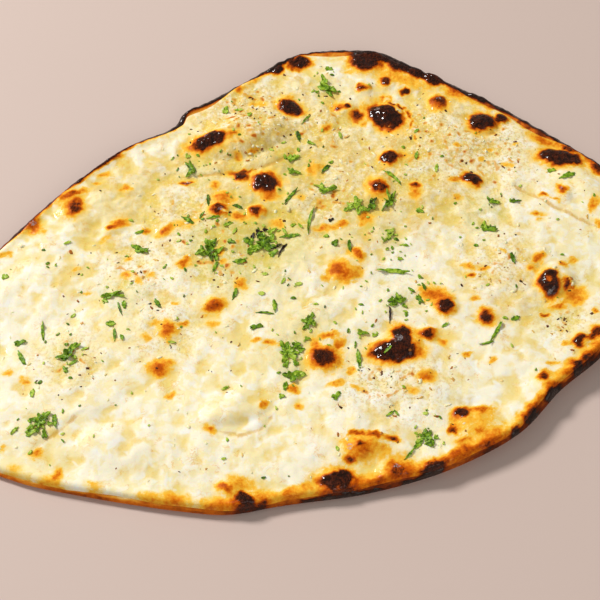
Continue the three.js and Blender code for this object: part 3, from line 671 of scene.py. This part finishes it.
def cheeseFinish():
    finish = Finish("meltedCheese", cheeseLook["colours"])
    grain, between, mix, attribute = finish.grain, finish.between, finish.mix, finish.attribute
    soaked, freckled = attribute("butter"), attribute("freckles")
    broad = grain(34, 3, 0.55)
    middle = grain(9, 3, 0.6, 0.4)
    curd = grain(4.2, 3, 0.6, 0.5)
    speck = grain(1.5, 3, 0.6)
    fine = grain(0.55, 2, 0.6)
    # Pale cheese; butter colour in its hollows, which is partly real butter and partly painted shade; and
    # painted white highlights on the pale cheese.
    base = mix(between(broad + (curd - 0.5) * 1.2 - soaked * 0.1, 0.34, 0.6), "cream", "ivory")
    base = mix(between(soaked + (middle - 0.5) * 2.4, 0.35, 1.15) * 0.75, base, "soaked")
    hollowButterAndShade = attribute("hollowButterAndShade") + (middle - 0.5) * 1.3 + (curd - 0.5) * 0.5 + soaked * 0.2
    # Where the relief sinks, butter yellow darkens the cheese: partly butter, partly painted shade.
    butterAndShade = between(hollowButterAndShade, 0.5, 1.1)
    base = mix(butterAndShade * 0.7, base, "butter")
    streak = between(curd, 0.455, 0.5) * between(curd, 0.545, 0.5)
    base = mix(streak * between(middle, 0.5, 0.66) * 0.55, base, "tan")
    # Painted highlights: whiter patches on the pale cheese, away from the butter.
    paintedHighlight = between(grain(6.5, 1, 0.5, 0.6), 0.57, 0.74) * between(soaked, 0.7, 0.3)
    base = mix(paintedHighlight * 0.75, base, "highlightWhite")
    # Garlic crumbs, herb butter, freckles, and painted shade along the creases.
    crumbly = freckled * 0.85
    base = mix(between(speck, 0.5, 0.36) * crumbly, base, "crumb")
    base = mix(between(speck, 0.54, 0.66) * crumbly, base, "ivory")
    green = between(attribute("herbs") + (curd - 0.5) * 1.6, 0.4, 1.2)
    base = mix(green * 0.62, base, "herbButter")
    crowd = between(freckled + (middle - 0.5) * 0.8, 0.3, 0.9, -0.26, 0.03)
    spray = grain(3.0, 0, 0.5) + crowd + (speck - 0.5) * 0.2
    base = mix(between(spray, 0.6, 0.74) * 0.75, base, "freckle")
    base = mix(between(spray, 0.72, 0.84) * 0.85, base, "rust")
    # Painted shade along the creases of the folds.
    base = mix(between(attribute("paintedCreaseShade") + (curd - 0.5) * 1.6, 0.3, 1.0) * 0.8, base, "shade")
    # Scorch marks with ragged outlines, char, and painted grey-white glints on the char.
    heat = attribute("scorch")
    roughened = (middle - 0.5) * 0.22 + (curd - 0.5) * 0.34 + (speck - 0.5) * 0.42
    ragged = heat + roughened * between(heat, 0.03, 0.3)
    toasted = finish.ramp(ragged, [
        (0.0, "honey"), (0.2, "honey"), (0.36, "gold"), (0.52, "orange"), (0.66, "rust"), (0.79, "brown"),
        (0.9, "umber"), (1.0, "char"),
    ])
    colour = mix(between(ragged, 0.06, 0.3), base, toasted)
    burnt = between(ragged, 0.72, 0.95)
    embers = between(grain(2.4, 3, 0.7, 0.3), 0.46, 0.62)
    colour = mix(burnt * embers * 0.7, colour, "ember")
    # Painted glints: grey-white patches that stand in for reflections on the char.
    paintedGlint = between(attribute("ashAndGlint") * 0.5 + grain(1.1, 3, 0.7) * 1.2, 1.02, 1.2)
    colour = mix(paintedGlint * 0.7, colour, "ashAndGlint")
    roughness = between(middle, 0.3, 0.7, 0.62, 0.4) + (fine - 0.5) * 0.25 - butterAndShade * 0.14
    relief = finish.bump(curd * 0.7 + speck * (crumbly * 0.8 + 0.2) + fine * 0.1, 1.0, 0.42)
    relief = finish.bump(grain(1.5, 2, 0.65) * burnt, 4.5, 1.0, relief)
    return finish.surface(
        Base_Color=colour, Roughness=roughness, Normal=relief, Subsurface_Weight=0.18,
        Subsurface_Radius=(0.9, 0.55, 0.25), Subsurface_Scale=2 * mm, Specular_IOR_Level=0.07,
        Coat_Weight=between(ragged, 0.66, 0.9, 0.0, 0.36) + butterAndShade * 0.22, Coat_Roughness=0.1,
    )


def makeCheese():
    bm = bmesh.new()
    cells = cheeseLook["cells"]
    bmesh.ops.create_grid(bm, x_segments=cells, y_segments=cells, size=1)
    under = bm.verts.layers.float.new("under")
    rim = [e for e in bm.edges if e.is_boundary]
    before = 1.0
    for share in (1.0, *cheeseLook["undersideShares"]):
        rim, ring = grownRing(bm, rim, share / before)
        before = share
        for v in ring:
            v[under] = 1
    bmesh.ops.holes_fill(bm, edges=rim, sides=0)
    bmesh.ops.recalc_face_normals(bm, faces=bm.faces)
    mesh = meshFrom(bm, "meltedCheese")
    a, b = planOf(mesh)
    lower = np.empty(len(a), np.float32)
    mesh.attributes["under"].data.foreach_get("value", lower)
    mesh.attributes.remove(mesh.attributes["under"])
    # The square's rings become rings of the outline.
    share = np.maximum(np.abs(a), np.abs(b))
    safe = np.maximum(share, 1e-9)
    wide = np.abs(a) >= np.abs(b)
    corner = np.pi / 4
    bearing = np.where(wide, corner * b / safe * np.sign(a), 2 * corner - corner * a / safe * np.sign(b))
    bearing = np.where(np.where(wide, a, b) < 0, bearing + np.pi, bearing)
    radius = share * (edgeAt("reach", bearing) - edgeAt("margin", bearing) * edgeAt("slant", bearing))
    x, y = radius * np.cos(bearing), radius * np.sin(bearing)
    depth = insideEdge(x, y)
    heat = heatAt(x, y, depth)
    gap = np.where(share > 0.999, cheeseLook["sunkMargin"], naan["layerGap"])
    z = np.where(lower > 0.5, breadTop(x, y, depth, 0.5) + gap, cheeseTop(x, y, heat))
    setCoordinates(mesh, x, y, z)
    columns = {
        "scorch": heat,
        "ashAndGlint": paintedGlintAt(x, y),
        "paintedCreaseShade": paintedCreaseShadeAt(x, y),
        "butter": coverAt(x, y, butterFields),
        "herbs": coverAt(x, y, herbPatches),
        "freckles": coverAt(x, y, freckleFields),
        # How deep each place lies in the relief, for butter colour and painted shade in the hollows.
        "hollowButterAndShade": smooth(-curdHeight(x, y) - 0.6 * rippleHeight(x, y), -0.4, 0.5),
    }
    linkPiece("meltedCheese", mesh, columns, cheeseFinish(), ["cheese"])


makeCheese()
print("cheese made")

# Bread

breadLook = {
    "steps": 1200,  # points round the edge
    # From the middle of the hidden top face, over the rim, to the middle of the underside.
    "hidden": (0.02, 0.3, 0.6, 0.85, 0.96),  # shares of the way out to the rim, 1.5 margins in
    "rim": (
        1.5, 1.25, 1.1, 1.0, 0.9, 0.8, 0.7, 0.6, 0.5, 0.42, 0.34, 0.27, 0.21, 0.15, 0.1, 0.06, 0.03, 0.01, 0,
    ),  # in cheese margins from the edge
    "under": (0.02, 0.08, 0.18, 0.35, 0.6, 0.9, 1.3, 1.8, 2.4, 3.0, 4.0, 5.5, 7.5, 10, 13, 17, 21, 26, 31),
    "floor": (0.72, 0.64, 0.56, 0.48, 0.4, 0.32, 0.24, 0.16, 0.08, 0.01),  # shares of the way out to the edge
    "colours": {
        "dough": (253, 228, 164),
        "gold": (240, 168, 54),
        "orange": (214, 108, 12),
        "brown": (128, 50, 5),
        "char": (44, 20, 6),
        "ashAndGlint": (82, 58, 42),
    },
}


def breadFinish():
    finish = Finish("bakedDough", breadLook["colours"])
    middle = finish.grain(5, 3, 0.6)
    speck = finish.grain(1.2, 3, 0.65)
    ragged = finish.attribute("scorch") + (middle - 0.5) * 0.3 + (speck - 0.5) * 0.22
    stops = [(0.0, "dough"), (0.28, "gold"), (0.5, "orange"), (0.7, "brown"), (0.9, "char")]
    burnt = finish.between(ragged, 0.76, 0.95)
    colour = finish.mix(burnt * finish.between(middle, 0.56, 0.7) * 0.4, finish.ramp(ragged, stops), "ashAndGlint")
    roughness = finish.between(speck, 0.3, 0.7, 0.72, 0.5) - burnt * 0.16
    relief = finish.bump(speck, 0.4, 0.6)
    relief = finish.bump(finish.grain(1.2, 2, 0.7) * burnt, 1.5, 1.0, relief)
    return finish.surface(
        Base_Color=colour, Roughness=roughness, Normal=relief, Subsurface_Weight=0.05,
        Subsurface_Radius=(0.8, 0.4, 0.2), Subsurface_Scale=1.5 * mm, Specular_IOR_Level=0.12,
        Coat_Weight=burnt * 0.45, Coat_Roughness=0.16,
    )


def makeBread():
    stations = [(part, value) for part in ("hidden", "rim", "under", "floor") for value in breadLook[part]]
    bm = bmesh.new()
    chain = [bm.verts.new((k + 1, 0, 0)) for k in range(len(stations))]
    for near, far in zip(chain, chain[1:]):
        bm.edges.new((near, far))
    bmesh.ops.spin(
        bm, geom=bm.verts[:] + bm.edges[:], cent=(0, 0, 0), axis=(0, 0, 1), angle=2 * math.pi,
        steps=breadLook["steps"], use_merge=True,
    )
    bmesh.ops.holes_fill(bm, edges=[e for e in bm.edges if e.is_boundary], sides=0)
    mesh = meshFrom(bm, "bakedBread")
    a, b = planOf(mesh)
    which = np.round(np.hypot(a, b)).astype(int) - 1
    bearing = np.arctan2(b, a)
    reach, slant, margin = (edgeAt(column, bearing) for column in ("reach", "slant", "margin"))
    radius = np.zeros_like(reach)
    below = np.zeros_like(reach, bool)
    for k, (part, value) in enumerate(stations):
        here = which == k
        below[here] = part in ("under", "floor")
        radius[here] = {
            "hidden": value * (reach - 1.5 * margin * slant),
            "rim": reach - value * margin * slant,
            "under": reach - value * slant,
            "floor": value * reach,
        }[part][here]
    x, y = radius * np.cos(bearing), radius * np.sin(bearing)
    depth = np.maximum((reach - radius) / slant, 0)
    # Both faces are toasted in patches, and the underside in spots as well.
    spots = smooth(layered("underSpots", x, y), 0.22, 0.55) * smooth(depth, 4, 12)
    edgeToast = 0.12 * np.exp(-depth / 5)
    underHeat = np.clip(0.16 + 0.2 * layered("underPatches", x, y) + 0.6 * spots + edgeToast, 0, 1)
    topHeat = np.clip(layered("topToast", x, y, 0.14), 0, 1)
    fromAbove = heatAt(x, y, depth) * np.where(below, np.exp(-depth / 4), 1)
    heat = 1 - (1 - fromAbove) * (1 - np.where(below, underHeat, topHeat))
    bumps = layered("doughGrain", x, y) + smooth(heat, 0.6, 0.95) * layered("rimLumps", x, y)
    shown = rounding(depth, 1.2) * (1 - smooth(depth, margin, 1.4 * margin))
    z = np.where(below, breadBottom(x, y, depth), breadTop(x, y, depth, 0.5) + bumps * shown)
    lifted = below & (liftHeight(x, y, depth) > 0.3)
    z = np.where(lifted, z + 0.5 * bumps * rounding(depth, 3), z)
    setCoordinates(mesh, x, y, np.maximum(z, 0))
    bm = bmesh.new()
    bm.from_mesh(mesh)
    bmesh.ops.recalc_face_normals(bm, faces=bm.faces)
    bm.to_mesh(mesh)
    bm.free()
    linkPiece("bakedBread", mesh, {"scorch": heat}, breadFinish(), ["bread"])


makeBread()
print("bread made")

# Coriander

coriander = {
    "leafBlade": (44, (0.34, 0.68, 1.0)),  # points on its outline, share of each ring
    "scrapBlade": (28, (0.4, 0.72, 1.0)),
    "fleckBlade": (10, (0.55, 1.0)),
    "leafSeat": 0.25,  # how far a leaf lies above the cheese
    "thickness": 0.4,
    "curl": 0.11,  # share of its length that a leaf's outline rises and falls
    "flecks": 330,
    "fleckSize": (1.4, 3.6),
    "colours": {
        "fresh": (106, 148, 12),
        "bright": (158, 186, 44),
        "dark": (56, 86, 6),
        "pale": (198, 214, 92),
        "olive": (124, 110, 14),
        "burnt": (44, 26, 14),
    },
}

# Where small things may lie.
strewing = {
    "halfLength": 175,
    "halfWidth": 132,
    "margin": 9,  # from the bread's edge
    "hottest": 0.4,  # for leaves and garlic
}

# Leaves that lie whole on the cheese: x, y, length, width, turn, lobes, tone from 0 pale to 1 dark.
leaves = [
    (10, 105, 14, 7, -25, 3, 0.5), (-8, 57, 8, 6, 10, 3, 0.55), (-7, 48.5, 8, 4, 0, 3, 0.5),
    (-59, 50, 10, 5, 110, 3, 0.8), (25, 26.5, 10, 8, 80, 5, 0.3), (33.5, 27, 9, 5, 95, 3, 0.75),
    (43, 29, 14, 4, 72, 3, 0.6), (-22, 5, 13, 11, -40, 5, 0.82), (-48, 0.5, 13, 7, 75, 5, 0.74),
    (-83, 1, 9, 5, -15, 3, 0.6), (9.5, 37, 12, 5, 10, 3, 0.5), (42, -11.5, 15, 3, -4, 1, 0.45),
    (44, -28, 9, 6, 15, 5, 0.65), (-95, -25.5, 11, 4, 25, 3, 0.6), (-112, -57, 12, 6, 65, 3, 0.7),
    (-8.5, -56, 11, 8, 100, 5, 0.5), (-6.5, -69, 10, 7, 40, 3, 0.55), (1, -40, 8, 6, -10, 5, 0.6),
    (-122, -93, 10, 8, 60, 5, 0.6), (54, -100, 8, 7, 40, 5, 0.65), (90, 14, 10, 5, -15, 3, 0.65),
    (95, 30.5, 7, 4, -10, 3, 0.6),
]

# Chopped scraps, in the same form. A tone over 1 is burnt.
scraps = [
    (-43, 88, 8, 5, 80, 3, 0.3), (-30, 84, 5, 3, 80, 1, 0.3), (12, 118, 6, 4, -20, 3, 0.6),
    (2, 68, 7, 3, -25, 3, 0.45), (-4, 72, 7, 3, 100, 1, 0.95), (10, 51, 7, 3, 50, 1, 0.85),
    (57.5, 59, 5, 2.5, 80, 1, 0.5), (44.5, 45.5, 13, 2.4, -45, 1, 0.4), (57, 25, 6, 4, -20, 3, 0.55),
    (-60, 19.5, 8, 3, -35, 1, 0.7), (-40, 16, 7, 3, 25, 3, 0.4), (-8, 33, 12, 2.4, 55, 1, 0.7),
    (2, 18, 18, 2.2, 80, 1, 0.5), (-38, 6, 6, 4, -20, 3, 0.7), (-9, 9, 9, 2.6, 5, 1, 0.6),
    (14, 4, 6, 5, 60, 3, 0.85), (-33, -5.5, 7, 3.5, 10, 1, 0.6), (-45, -9, 7, 2.4, 70, 1, 0.55),
    (-35, -24, 7, 2.6, 75, 1, 0.65), (21.5, 3, 7, 2.6, 95, 1, 0.85), (-148, -15, 5, 5, 0, 3, 0.3),
    (-137, -51, 8, 5, 20, 3, 0.7), (-126, -45, 11, 2, 98, 1, 0.5), (-134.5, -59, 9, 3, -60, 1, 0.6),
    (-94, -41, 5, 4, 0, 1, 0.6), (-91.5, -47, 7, 2, 95, 1, 0.6), (-25, -43, 9, 4, 10, 3, 0.75),
    (-15.5, -31, 7, 3, 95, 1, 0.55), (26, -45.5, 8, 4, -5, 3, 0.55), (24.5, -60, 11, 3, 95, 1, 0.6),
    (54.5, -26.5, 7, 4, -60, 3, 0.75), (90, -46, 14, 2.4, 60, 1, 0.55), (13, -79.5, 7, 5, 40, 3, 0.55),
    (-12, -79, 4, 4, 0, 3, 0.5), (50, -103.5, 6, 3, 40, 1, 0.7), (134, 44.5, 9, 4, 18, 1, 0.65),
    (126, 49, 6, 4, 0, 3, 0.4), (106, 31, 8, 3, 5, 3, 0.85), (102, -4, 7, 3, 100, 1, 0.9),
    (100, -38, 5, 3, 20, 1, 0.7), (-127, -78, 5, 3, 90, 1, 0.4), (-115, -92, 7, 3, 100, 1, 0.7),
    (-88, -31, 5, 3, 100, 1, 0.6), (-72, -30, 6, 3, 120, 1, 0.7),
]

# Thinner bits that are too small for solids of their own, in the same form.
bits = [
    (-36, 89, 5, 2, 0, 1, 0.3), (-62, 59, 4, 4, 0, 3, 0.1), (58, 74, 3.5, 2, 40, 1, 0.3),
    (67.5, 51, 5, 2.4, 80, 1, 0.3), (18, 73, 5, 2.4, 100, 1, 0.3), (-50, 31, 8, 2, 95, 1, 0.8),
    (-35, 27, 6, 2, -20, 1, 0.7), (-47, 20, 7, 1.6, 10, 1, 0.5), (-53, 22, 5, 1.4, 60, 1, 0.6),
    (-84, 12, 5, 2, 20, 1, 0.5), (-36, 12, 4, 2, 60, 1, 0.3), (-18, 12, 8, 4, 40, 3, 0.4),
    (-17, -1, 7, 5, 30, 3, 0.5), (-11, 12, 5, 2, -60, 1, 0.4), (-24, 11, 6, 6, 0, 3, 1.2),
    (-27, 9, 5, 3, 70, 3, 1.2), (-21, 13, 4, 3, 20, 3, 1.1), (-23, 8, 4, 2, -50, 1, 1.2),
    (-15, 3, 6, 2, 30, 1, 1.1), (-12, 1, 9, 1.6, 60, 1, 1.1), (-7, 15.5, 4, 2.6, 30, 3, 0.4),
    (-3, 15, 4, 2, 120, 1, 0.4), (-5, 9.5, 3.5, 2, 0, 1, 0.5), (-28, 0, 6, 4, 70, 3, 0.6),
    (-11.5, -17, 4, 2, 60, 1, 0.3), (-4, -18.5, 4, 2.6, 10, 1, 0.2), (-22, -24, 3.5, 3, 0, 1, 0.15),
    (-20.5, -13, 3, 2.4, 0, 1, 0.2), (-119, 4.5, 4, 2, 30, 1, 0.3), (8, 40, 4, 3, 100, 3, 0.4),
    (46, -4, 4, 3, 0, 3, 0.4), (41, 8, 9, 2, 50, 1, 0.15), (12, 18, 4, 3, 20, 3, 1.05),
    (51, -22, 4.5, 2, -40, 1, 0.6), (57, -20, 5, 2, -70, 1, 0.7), (40, -36, 9, 1.4, 88, 1, 1.1),
    (32, -46.5, 4, 3, 0, 3, 0.4), (38, -56, 5, 2, 40, 1, 0.7), (23, -52, 4, 1.4, 80, 1, 0.6),
    (66, -42, 4, 2, 30, 1, 0.5), (85, -52, 7, 1.6, 10, 1, 0.5), (38, -88, 5, 1.6, 35, 1, 0.6),
    (41, -87.5, 4, 1.4, -60, 1, 0.6), (46, -108, 7, 1.6, 50, 1, 0.6), (0, -48.5, 4, 3, 0, 3, 0.5),
    (-3, -55, 5, 4, 30, 3, 0.5), (-10, -63, 6, 4, 60, 3, 0.5), (-5, -62, 5, 4, 120, 3, 0.6),
    (-10, -74, 5, 3, 80, 1, 0.6), (-20, -35, 9, 1.4, -6, 1, 0.7), (-38, -75, 4, 2, 30, 1, 0.3),
    (-64, -51, 4, 1.6, 0, 1, 0.3), (-90, -33, 8, 1.4, 110, 1, 0.8), (-112.5, -36, 3, 1.8, 40, 1, 0.3),
    (-105, -54.5, 4, 1.6, 20, 1, 0.3), (-113, -66, 6, 3, 120, 3, 0.6), (-126, -98, 8, 5, 20, 3, 0.5),
    (-119, -99, 6, 4, 100, 3, 0.7), (-133, -97, 5, 2, 50, 1, 0.4), (-110, -62, 5, 2, 30, 1, 0.5),
    (-48, 6, 6, 4, 20, 3, 0.6), (-45, -4, 6, 3, 110, 3, 0.6), (-98, -28, 5, 3, -30, 3, 0.5),
    (0, 83.5, 8, 1.2, 55, 1, 0.4),
]


def templateArrays(bm):
    bm.verts.index_update()
    corners = np.array([v.co for v in bm.verts])
    faces = [[v.index for v in face.verts] for face in bm.faces]
    bm.free()
    return corners, faces


def bladeTemplate(segments, rings):
    # A round blade of several rings with a face below it, from 0 to -1 in height.
    bm = bmesh.new()
    bmesh.ops.create_circle(bm, cap_ends=True, cap_tris=True, segments=segments, radius=rings[0])
    rim = [e for e in bm.edges if e.is_boundary]
    for before, ring in zip(rings, rings[1:]):
        rim = grownRing(bm, rim, ring / before)[0]
    made = bmesh.ops.extrude_face_region(bm, geom=bm.faces[:], use_keep_orig=True)["geom"]
    bmesh.ops.translate(bm, vec=(0, 0, -1), verts=[g for g in made if isinstance(g, bmesh.types.BMVert)])
    bmesh.ops.recalc_face_normals(bm, faces=bm.faces)
    return templateArrays(bm)


def joinedMesh(name, faces, copies, x, y, z):
    count = len(x) // copies
    mesh = bpy.data.meshes.new(name)
    everyFace = [[k * count + v for v in face] for k in range(copies) for face in faces]
    mesh.from_pydata(np.stack([x, y, z], 1) * mm, [], everyFace)
    mesh.update()
    return mesh


def placed(px, py, x, y, angle):
    # The points turned by the angle and moved.
    c, s = math.cos(angle), math.sin(angle)
    return x + px * c - py * s, y + px * s + py * c


def restingPlane(px, py, surface):
    # Height at each point of the flat plane that fits the surface under a leaf.
    level = np.stack([px, py, np.ones_like(px)], 1)
    return level @ np.linalg.lstsq(level, surface, rcond=None)[0]


def bladeShape(corners, length, width, lobes, curl):
    # Outline, rise and rib share of a leaf that lies along X.
    angle = np.arctan2(corners[:, 1], corners[:, 0])
    ring = np.hypot(corners[:, 0], corners[:, 1])
    if lobes > 1:
        fan = 0.62 + 0.38 * np.cos(angle / 2) ** 2
        cut = 1 - (0.5 if lobes > 3 else 0.42) * (0.5 - 0.5 * np.cos(lobes * angle)) ** 1.6
        teeth = 1 - 0.16 * np.abs(np.sin(lobes * 2.5 * angle / 2 + 0.4)) ** 2
        outline = fan * (1 - (1 - cut * teeth) * np.clip(ring * 1.1, 0, 1))
        rib = np.abs(np.cos(lobes * angle / 2)) ** 6 * smooth(ring, 0.05, 0.4)
    else:
        taper = 0.28 * np.abs(np.sin(angle)) ** 0.6 * (1 - 0.4 * np.cos(angle))
        outline = 1 - taper - 0.1 * np.sin(7 * angle + length)
        rib = np.zeros_like(ring)
    px = ring * outline * length / 2 * np.cos(angle)
    py = ring * outline * width / 2 * np.sin(angle)
    wave = np.sin(2 * angle + random.uniform(0, 6)) + 0.6 * np.sin(5 * angle + random.uniform(0, 6))
    py += random.uniform(-0.22, 0.22) * (px**2 / length - length / 8)
    return px, py, curl * length * ring**2 * wave, rib


def randomPlace(patches=None):
    # A place on the cheese: anywhere, or in one of the patches.
    while True:
        if patches:
            middleX, middleY, spread = random.choice(patches)
            x, y = random.gauss(middleX, spread), random.gauss(middleY, spread)
        else:
            halfLength, halfWidth = strewing["halfLength"], strewing["halfWidth"]
            x, y = random.uniform(-halfLength, halfLength), random.uniform(-halfWidth, halfWidth)
        if insideEdge(np.array([x]), np.array([y]))[0] > strewing["margin"]:
            return x, y


def coolPlace(patches=None):
    # A place that isn't scorched.
    while True:
        x, y = randomPlace(patches)
        at = np.array([x]), np.array([y])
        if heatAt(*at, insideEdge(*at))[0] < strewing["hottest"]:
            return x, y


def corianderFinish():
    finish = Finish("coriander", coriander["colours"])
    tone = finish.attribute("tone")
    rib = finish.attribute("rib")
    mottle = finish.grain(1.9, 3, 0.65)
    fine = finish.grain(0.5, 2, 0.6)
    stops = [(0.02, "pale"), (0.36, "bright"), (0.62, "fresh"), (0.98, "dark")]
    colour = finish.ramp(tone + (mottle - 0.5) * 2.1, stops)
    colour = finish.mix(finish.between(mottle, 0.6, 0.8) * 0.5, colour, "olive")
    colour = finish.mix(rib * 0.35, colour, "bright")
    colour = finish.mix(finish.between(tone, 0.98, 1.06), colour, "burnt")
    return finish.surface(
        Base_Color=colour, Roughness=finish.between(mottle, 0.3, 0.7, 0.28, 0.5),
        Normal=finish.bump(fine + rib * 0.8, 0.2, 0.6), Subsurface_Weight=0.1,
        Subsurface_Radius=(0.5, 0.8, 0.1), Subsurface_Scale=0.8 * mm, Specular_IOR_Level=0.25,
    )


def makeLeaves(name, sprigs, blade, seat, finish, nodes=()):
    corners, faces = bladeTemplate(*coriander[blade])
    parts = []
    for x, y, length, width, turn, lobes, tone in sprigs:
        curl = coriander["curl"] * (0.6 if lobes == 1 else 1)
        px, py, rise, rib = bladeShape(corners, length, width, lobes, curl)
        parts.append((*placed(px, py, x, y, math.radians(turn)), rise, rib, np.full_like(px, tone)))
    x, y, rise, rib, tone = (np.concatenate(column) for column in zip(*parts))
    surface = cheeseTop(x, y)
    leafEnds = np.arange(len(corners), len(x), len(corners))
    eachLeaf = zip(*(np.split(v, leafEnds) for v in (x, y, surface)))
    plane = np.concatenate([restingPlane(*leaf) for leaf in eachLeaf])
    thickness = coriander["thickness"]
    top = np.maximum(surface + seat, 0.35 * surface + 0.65 * plane + seat + rise) + thickness
    layer = np.tile(corners[:, 2], len(sprigs))
    mesh = joinedMesh(name, faces, len(sprigs), x, y, top + layer * thickness)
    linkPiece(name, mesh, {"tone": tone, "rib": rib}, finish, nodes)


def clustered(sprigs):
    # A leaf of many lobes is a bunch: smaller leaflets stand round its middle.
    result = []
    for x, y, length, width, turn, lobes, tone in sprigs:
        bunch = lobes > 3
        share = 0.9 if bunch else 1.1
        result.append((x, y, length * share, width * share, turn, lobes, tone))
        for k in range(8 if bunch else 2 if lobes > 1 else 0):
            angle = math.radians(turn + 137 * k + random.uniform(-30, 30))
            out = random.uniform(0.2, 0.55 if bunch else 0.4) * (length + width) / 2
            size = random.uniform(0.34, 0.62) if bunch else random.uniform(0.55, 0.8)
            result.append((
                x + out * math.cos(angle), y + out * math.sin(angle), length * size, width * size,
                math.degrees(angle) + random.uniform(-40, 40), 3, tone + random.uniform(-0.35, 0.3),
            ))
    return result


flecks = []
for k in range(coriander["flecks"]):
    x, y = coolPlace(herbPatches if k % 4 else None)
    length = random.uniform(*coriander["fleckSize"]) * random.uniform(0.6, 1)
    width = length * random.uniform(0.35, 0.8)
    turn, lobes = random.uniform(0, 180), random.choice((1, 1, 3))
    flecks.append((x, y, length, width, turn, lobes, random.uniform(0.0, 0.8)))

leafNodes = sorted(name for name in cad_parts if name.startswith("coriander_leaf"))
herbFinish = corianderFinish()
makeLeaves("corianderLeaves", clustered(leaves), "leafBlade", coriander["leafSeat"], herbFinish, leafNodes)
makeLeaves("corianderScraps", scraps + bits, "scrapBlade", 0.0, herbFinish)
makeLeaves("corianderFlecks", flecks, "fleckBlade", 0.0, herbFinish)
print("coriander made")

# Garlic and burnt crumbs

garlicLook = {
    "count": 520,
    "size": (0.5, 1.5),
    "sink": 0.25,  # share of its size that a grain is sunk
    "roughness": 0.35,
    "subsurface": 0.2,
    "colours": {"pale": (252, 238, 190), "golden": (238, 196, 104), "toasted": (176, 100, 28)},
    "stops": ((0.3, "pale"), (0.72, "golden"), (0.95, "toasted")),
}
crumbLook = {
    "count": 330,
    "size": (0.3, 1.0),
    "sink": 0.15,
    "roughness": 0.5,
    "subsurface": 0.0,
    "colours": {"black": (62, 30, 12), "brown": (118, 60, 18), "tan": (206, 130, 44)},
    "stops": ((0.1, "black"), (0.5, "brown"), (0.9, "tan")),
}


def crumbFinish(name, look):
    finish = Finish(name, look["colours"])
    grain = finish.grain(0.8, 2, 0.6)
    return finish.surface(
        Base_Color=finish.ramp(finish.attribute("tone") + (grain - 0.5) * 0.5, look["stops"]),
        Roughness=look["roughness"], Normal=finish.bump(grain, 0.2, 0.5), Specular_IOR_Level=0.2,
        Subsurface_Weight=look["subsurface"], Subsurface_Scale=1.2 * mm,
    )


def makeCrumbs(name, places, look):
    bm = bmesh.new()
    bmesh.ops.create_icosphere(bm, subdivisions=2, radius=1)
    corners, faces = templateArrays(bm)
    parts = []
    for x, y, size, tone in places:
        stretch = [size * random.uniform(low, high) for low, high in ((0.8, 1.8), (0.5, 1.0), (0.4, 0.7))]
        lumps = 1 + 0.3 * np.sin(corners @ np.array([random.uniform(2, 5) for _ in range(3)]))
        px, py, up = (corners * stretch * lumps[:, None]).T
        same = (np.full(len(corners), value) for value in (tone, x, y))
        parts.append((*placed(px, py, x, y, size * 900), up - look["sink"] * size, *same))
    x, y, up, tone, middleX, middleY = (np.concatenate(column) for column in zip(*parts))
    mesh = joinedMesh(name, faces, len(places), x, y, cheeseTop(middleX, middleY) + up)
    linkPiece(name, mesh, {"tone": tone}, crumbFinish(name, look))


garlic, burnt = [], []
for k in range(garlicLook["count"]):
    size = random.uniform(*garlicLook["size"]) * random.uniform(0.5, 1)
    garlic.append((*coolPlace(freckleFields if k % 2 else None), size, random.random() ** 2))
for k in range(crumbLook["count"]):
    size = random.uniform(*crumbLook["size"]) * random.uniform(0.55, 1)
    burnt.append((*randomPlace(freckleFields if k % 5 else None), size, random.random()))
makeCrumbs("mincedGarlic", garlic, garlicLook)
makeCrumbs("burntCrumbs", burnt, crumbLook)
print("crumbs made")

# Stage, light and camera

stageLook = {
    "floorSize": 4.0,
    "floorDrop": 0.05 * mm,
    "floor": (210, 188, 176),
    "target": (-3.2, -23.25, 0),  # the point at the middle of the picture
    "elevation": 60,
    "distance": 575,
    "fieldOfView": 28.8,
    "keyPower": 53,
    "keySize": 0.5,
    "keyFrom": (-1.5, 1.0, 1.6),
    "fillPower": 4,
    "fillSize": 1.0,
    "fillFrom": (0.5, -1.1, 0.8),
    "sky": (1, 0.985, 0.965, 1),
    "skyStrength": 0.3,
}


def makeFloor():
    bm = bmesh.new()
    bmesh.ops.create_grid(bm, x_segments=1, y_segments=1, size=stageLook["floorSize"] / 2)
    bmesh.ops.translate(bm, verts=bm.verts, vec=(0, 0, -stageLook["floorDrop"]))
    mesh = meshFrom(bm, "floor")
    floor = bpy.data.objects.new("floor", mesh)
    bpy.context.scene.collection.objects.link(floor)
    finish = Finish("paleFloor", {"floor": stageLook["floor"]})
    mesh.materials.append(finish.surface(Base_Color="floor", Roughness=0.7))


def makeLight(name, power, size, place):
    lamp = bpy.data.lights.new(name, "AREA")
    lamp.energy = power
    lamp.shape = "DISK"
    lamp.size = size
    light = bpy.data.objects.new(name, lamp)
    light.location = place
    light.rotation_euler = (-Vector(place)).to_track_quat("-Z", "Y").to_euler()
    bpy.context.scene.collection.objects.link(light)


def makeCamera():
    lens = bpy.data.cameras.new("camera")
    lens.sensor_fit = "HORIZONTAL"
    lens.angle = math.radians(stageLook["fieldOfView"])
    camera = bpy.data.objects.new("camera", lens)
    rise = math.radians(stageLook["elevation"])
    away = Vector((0, -math.cos(rise), math.sin(rise))) * stageLook["distance"]
    camera.location = (Vector(stageLook["target"]) + away) * mm
    camera.rotation_euler = (-away).to_track_quat("-Z", "Y").to_euler()
    bpy.context.scene.collection.objects.link(camera)
    bpy.context.scene.camera = camera


def makeSky():
    world = bpy.data.worlds.new("softSky")
    world.use_nodes = True
    background = world.node_tree.nodes["Background"]
    background.inputs["Color"].default_value = stageLook["sky"]
    background.inputs["Strength"].default_value = stageLook["skyStrength"]
    bpy.context.scene.world = world


makeFloor()
makeSky()
for name in ("key", "fill"):
    makeLight(name + "Light", *(stageLook[name + part] for part in ("Power", "Size", "From")))
makeCamera()
bpy.context.scene.view_settings.view_transform = "Standard"
print("stage made")
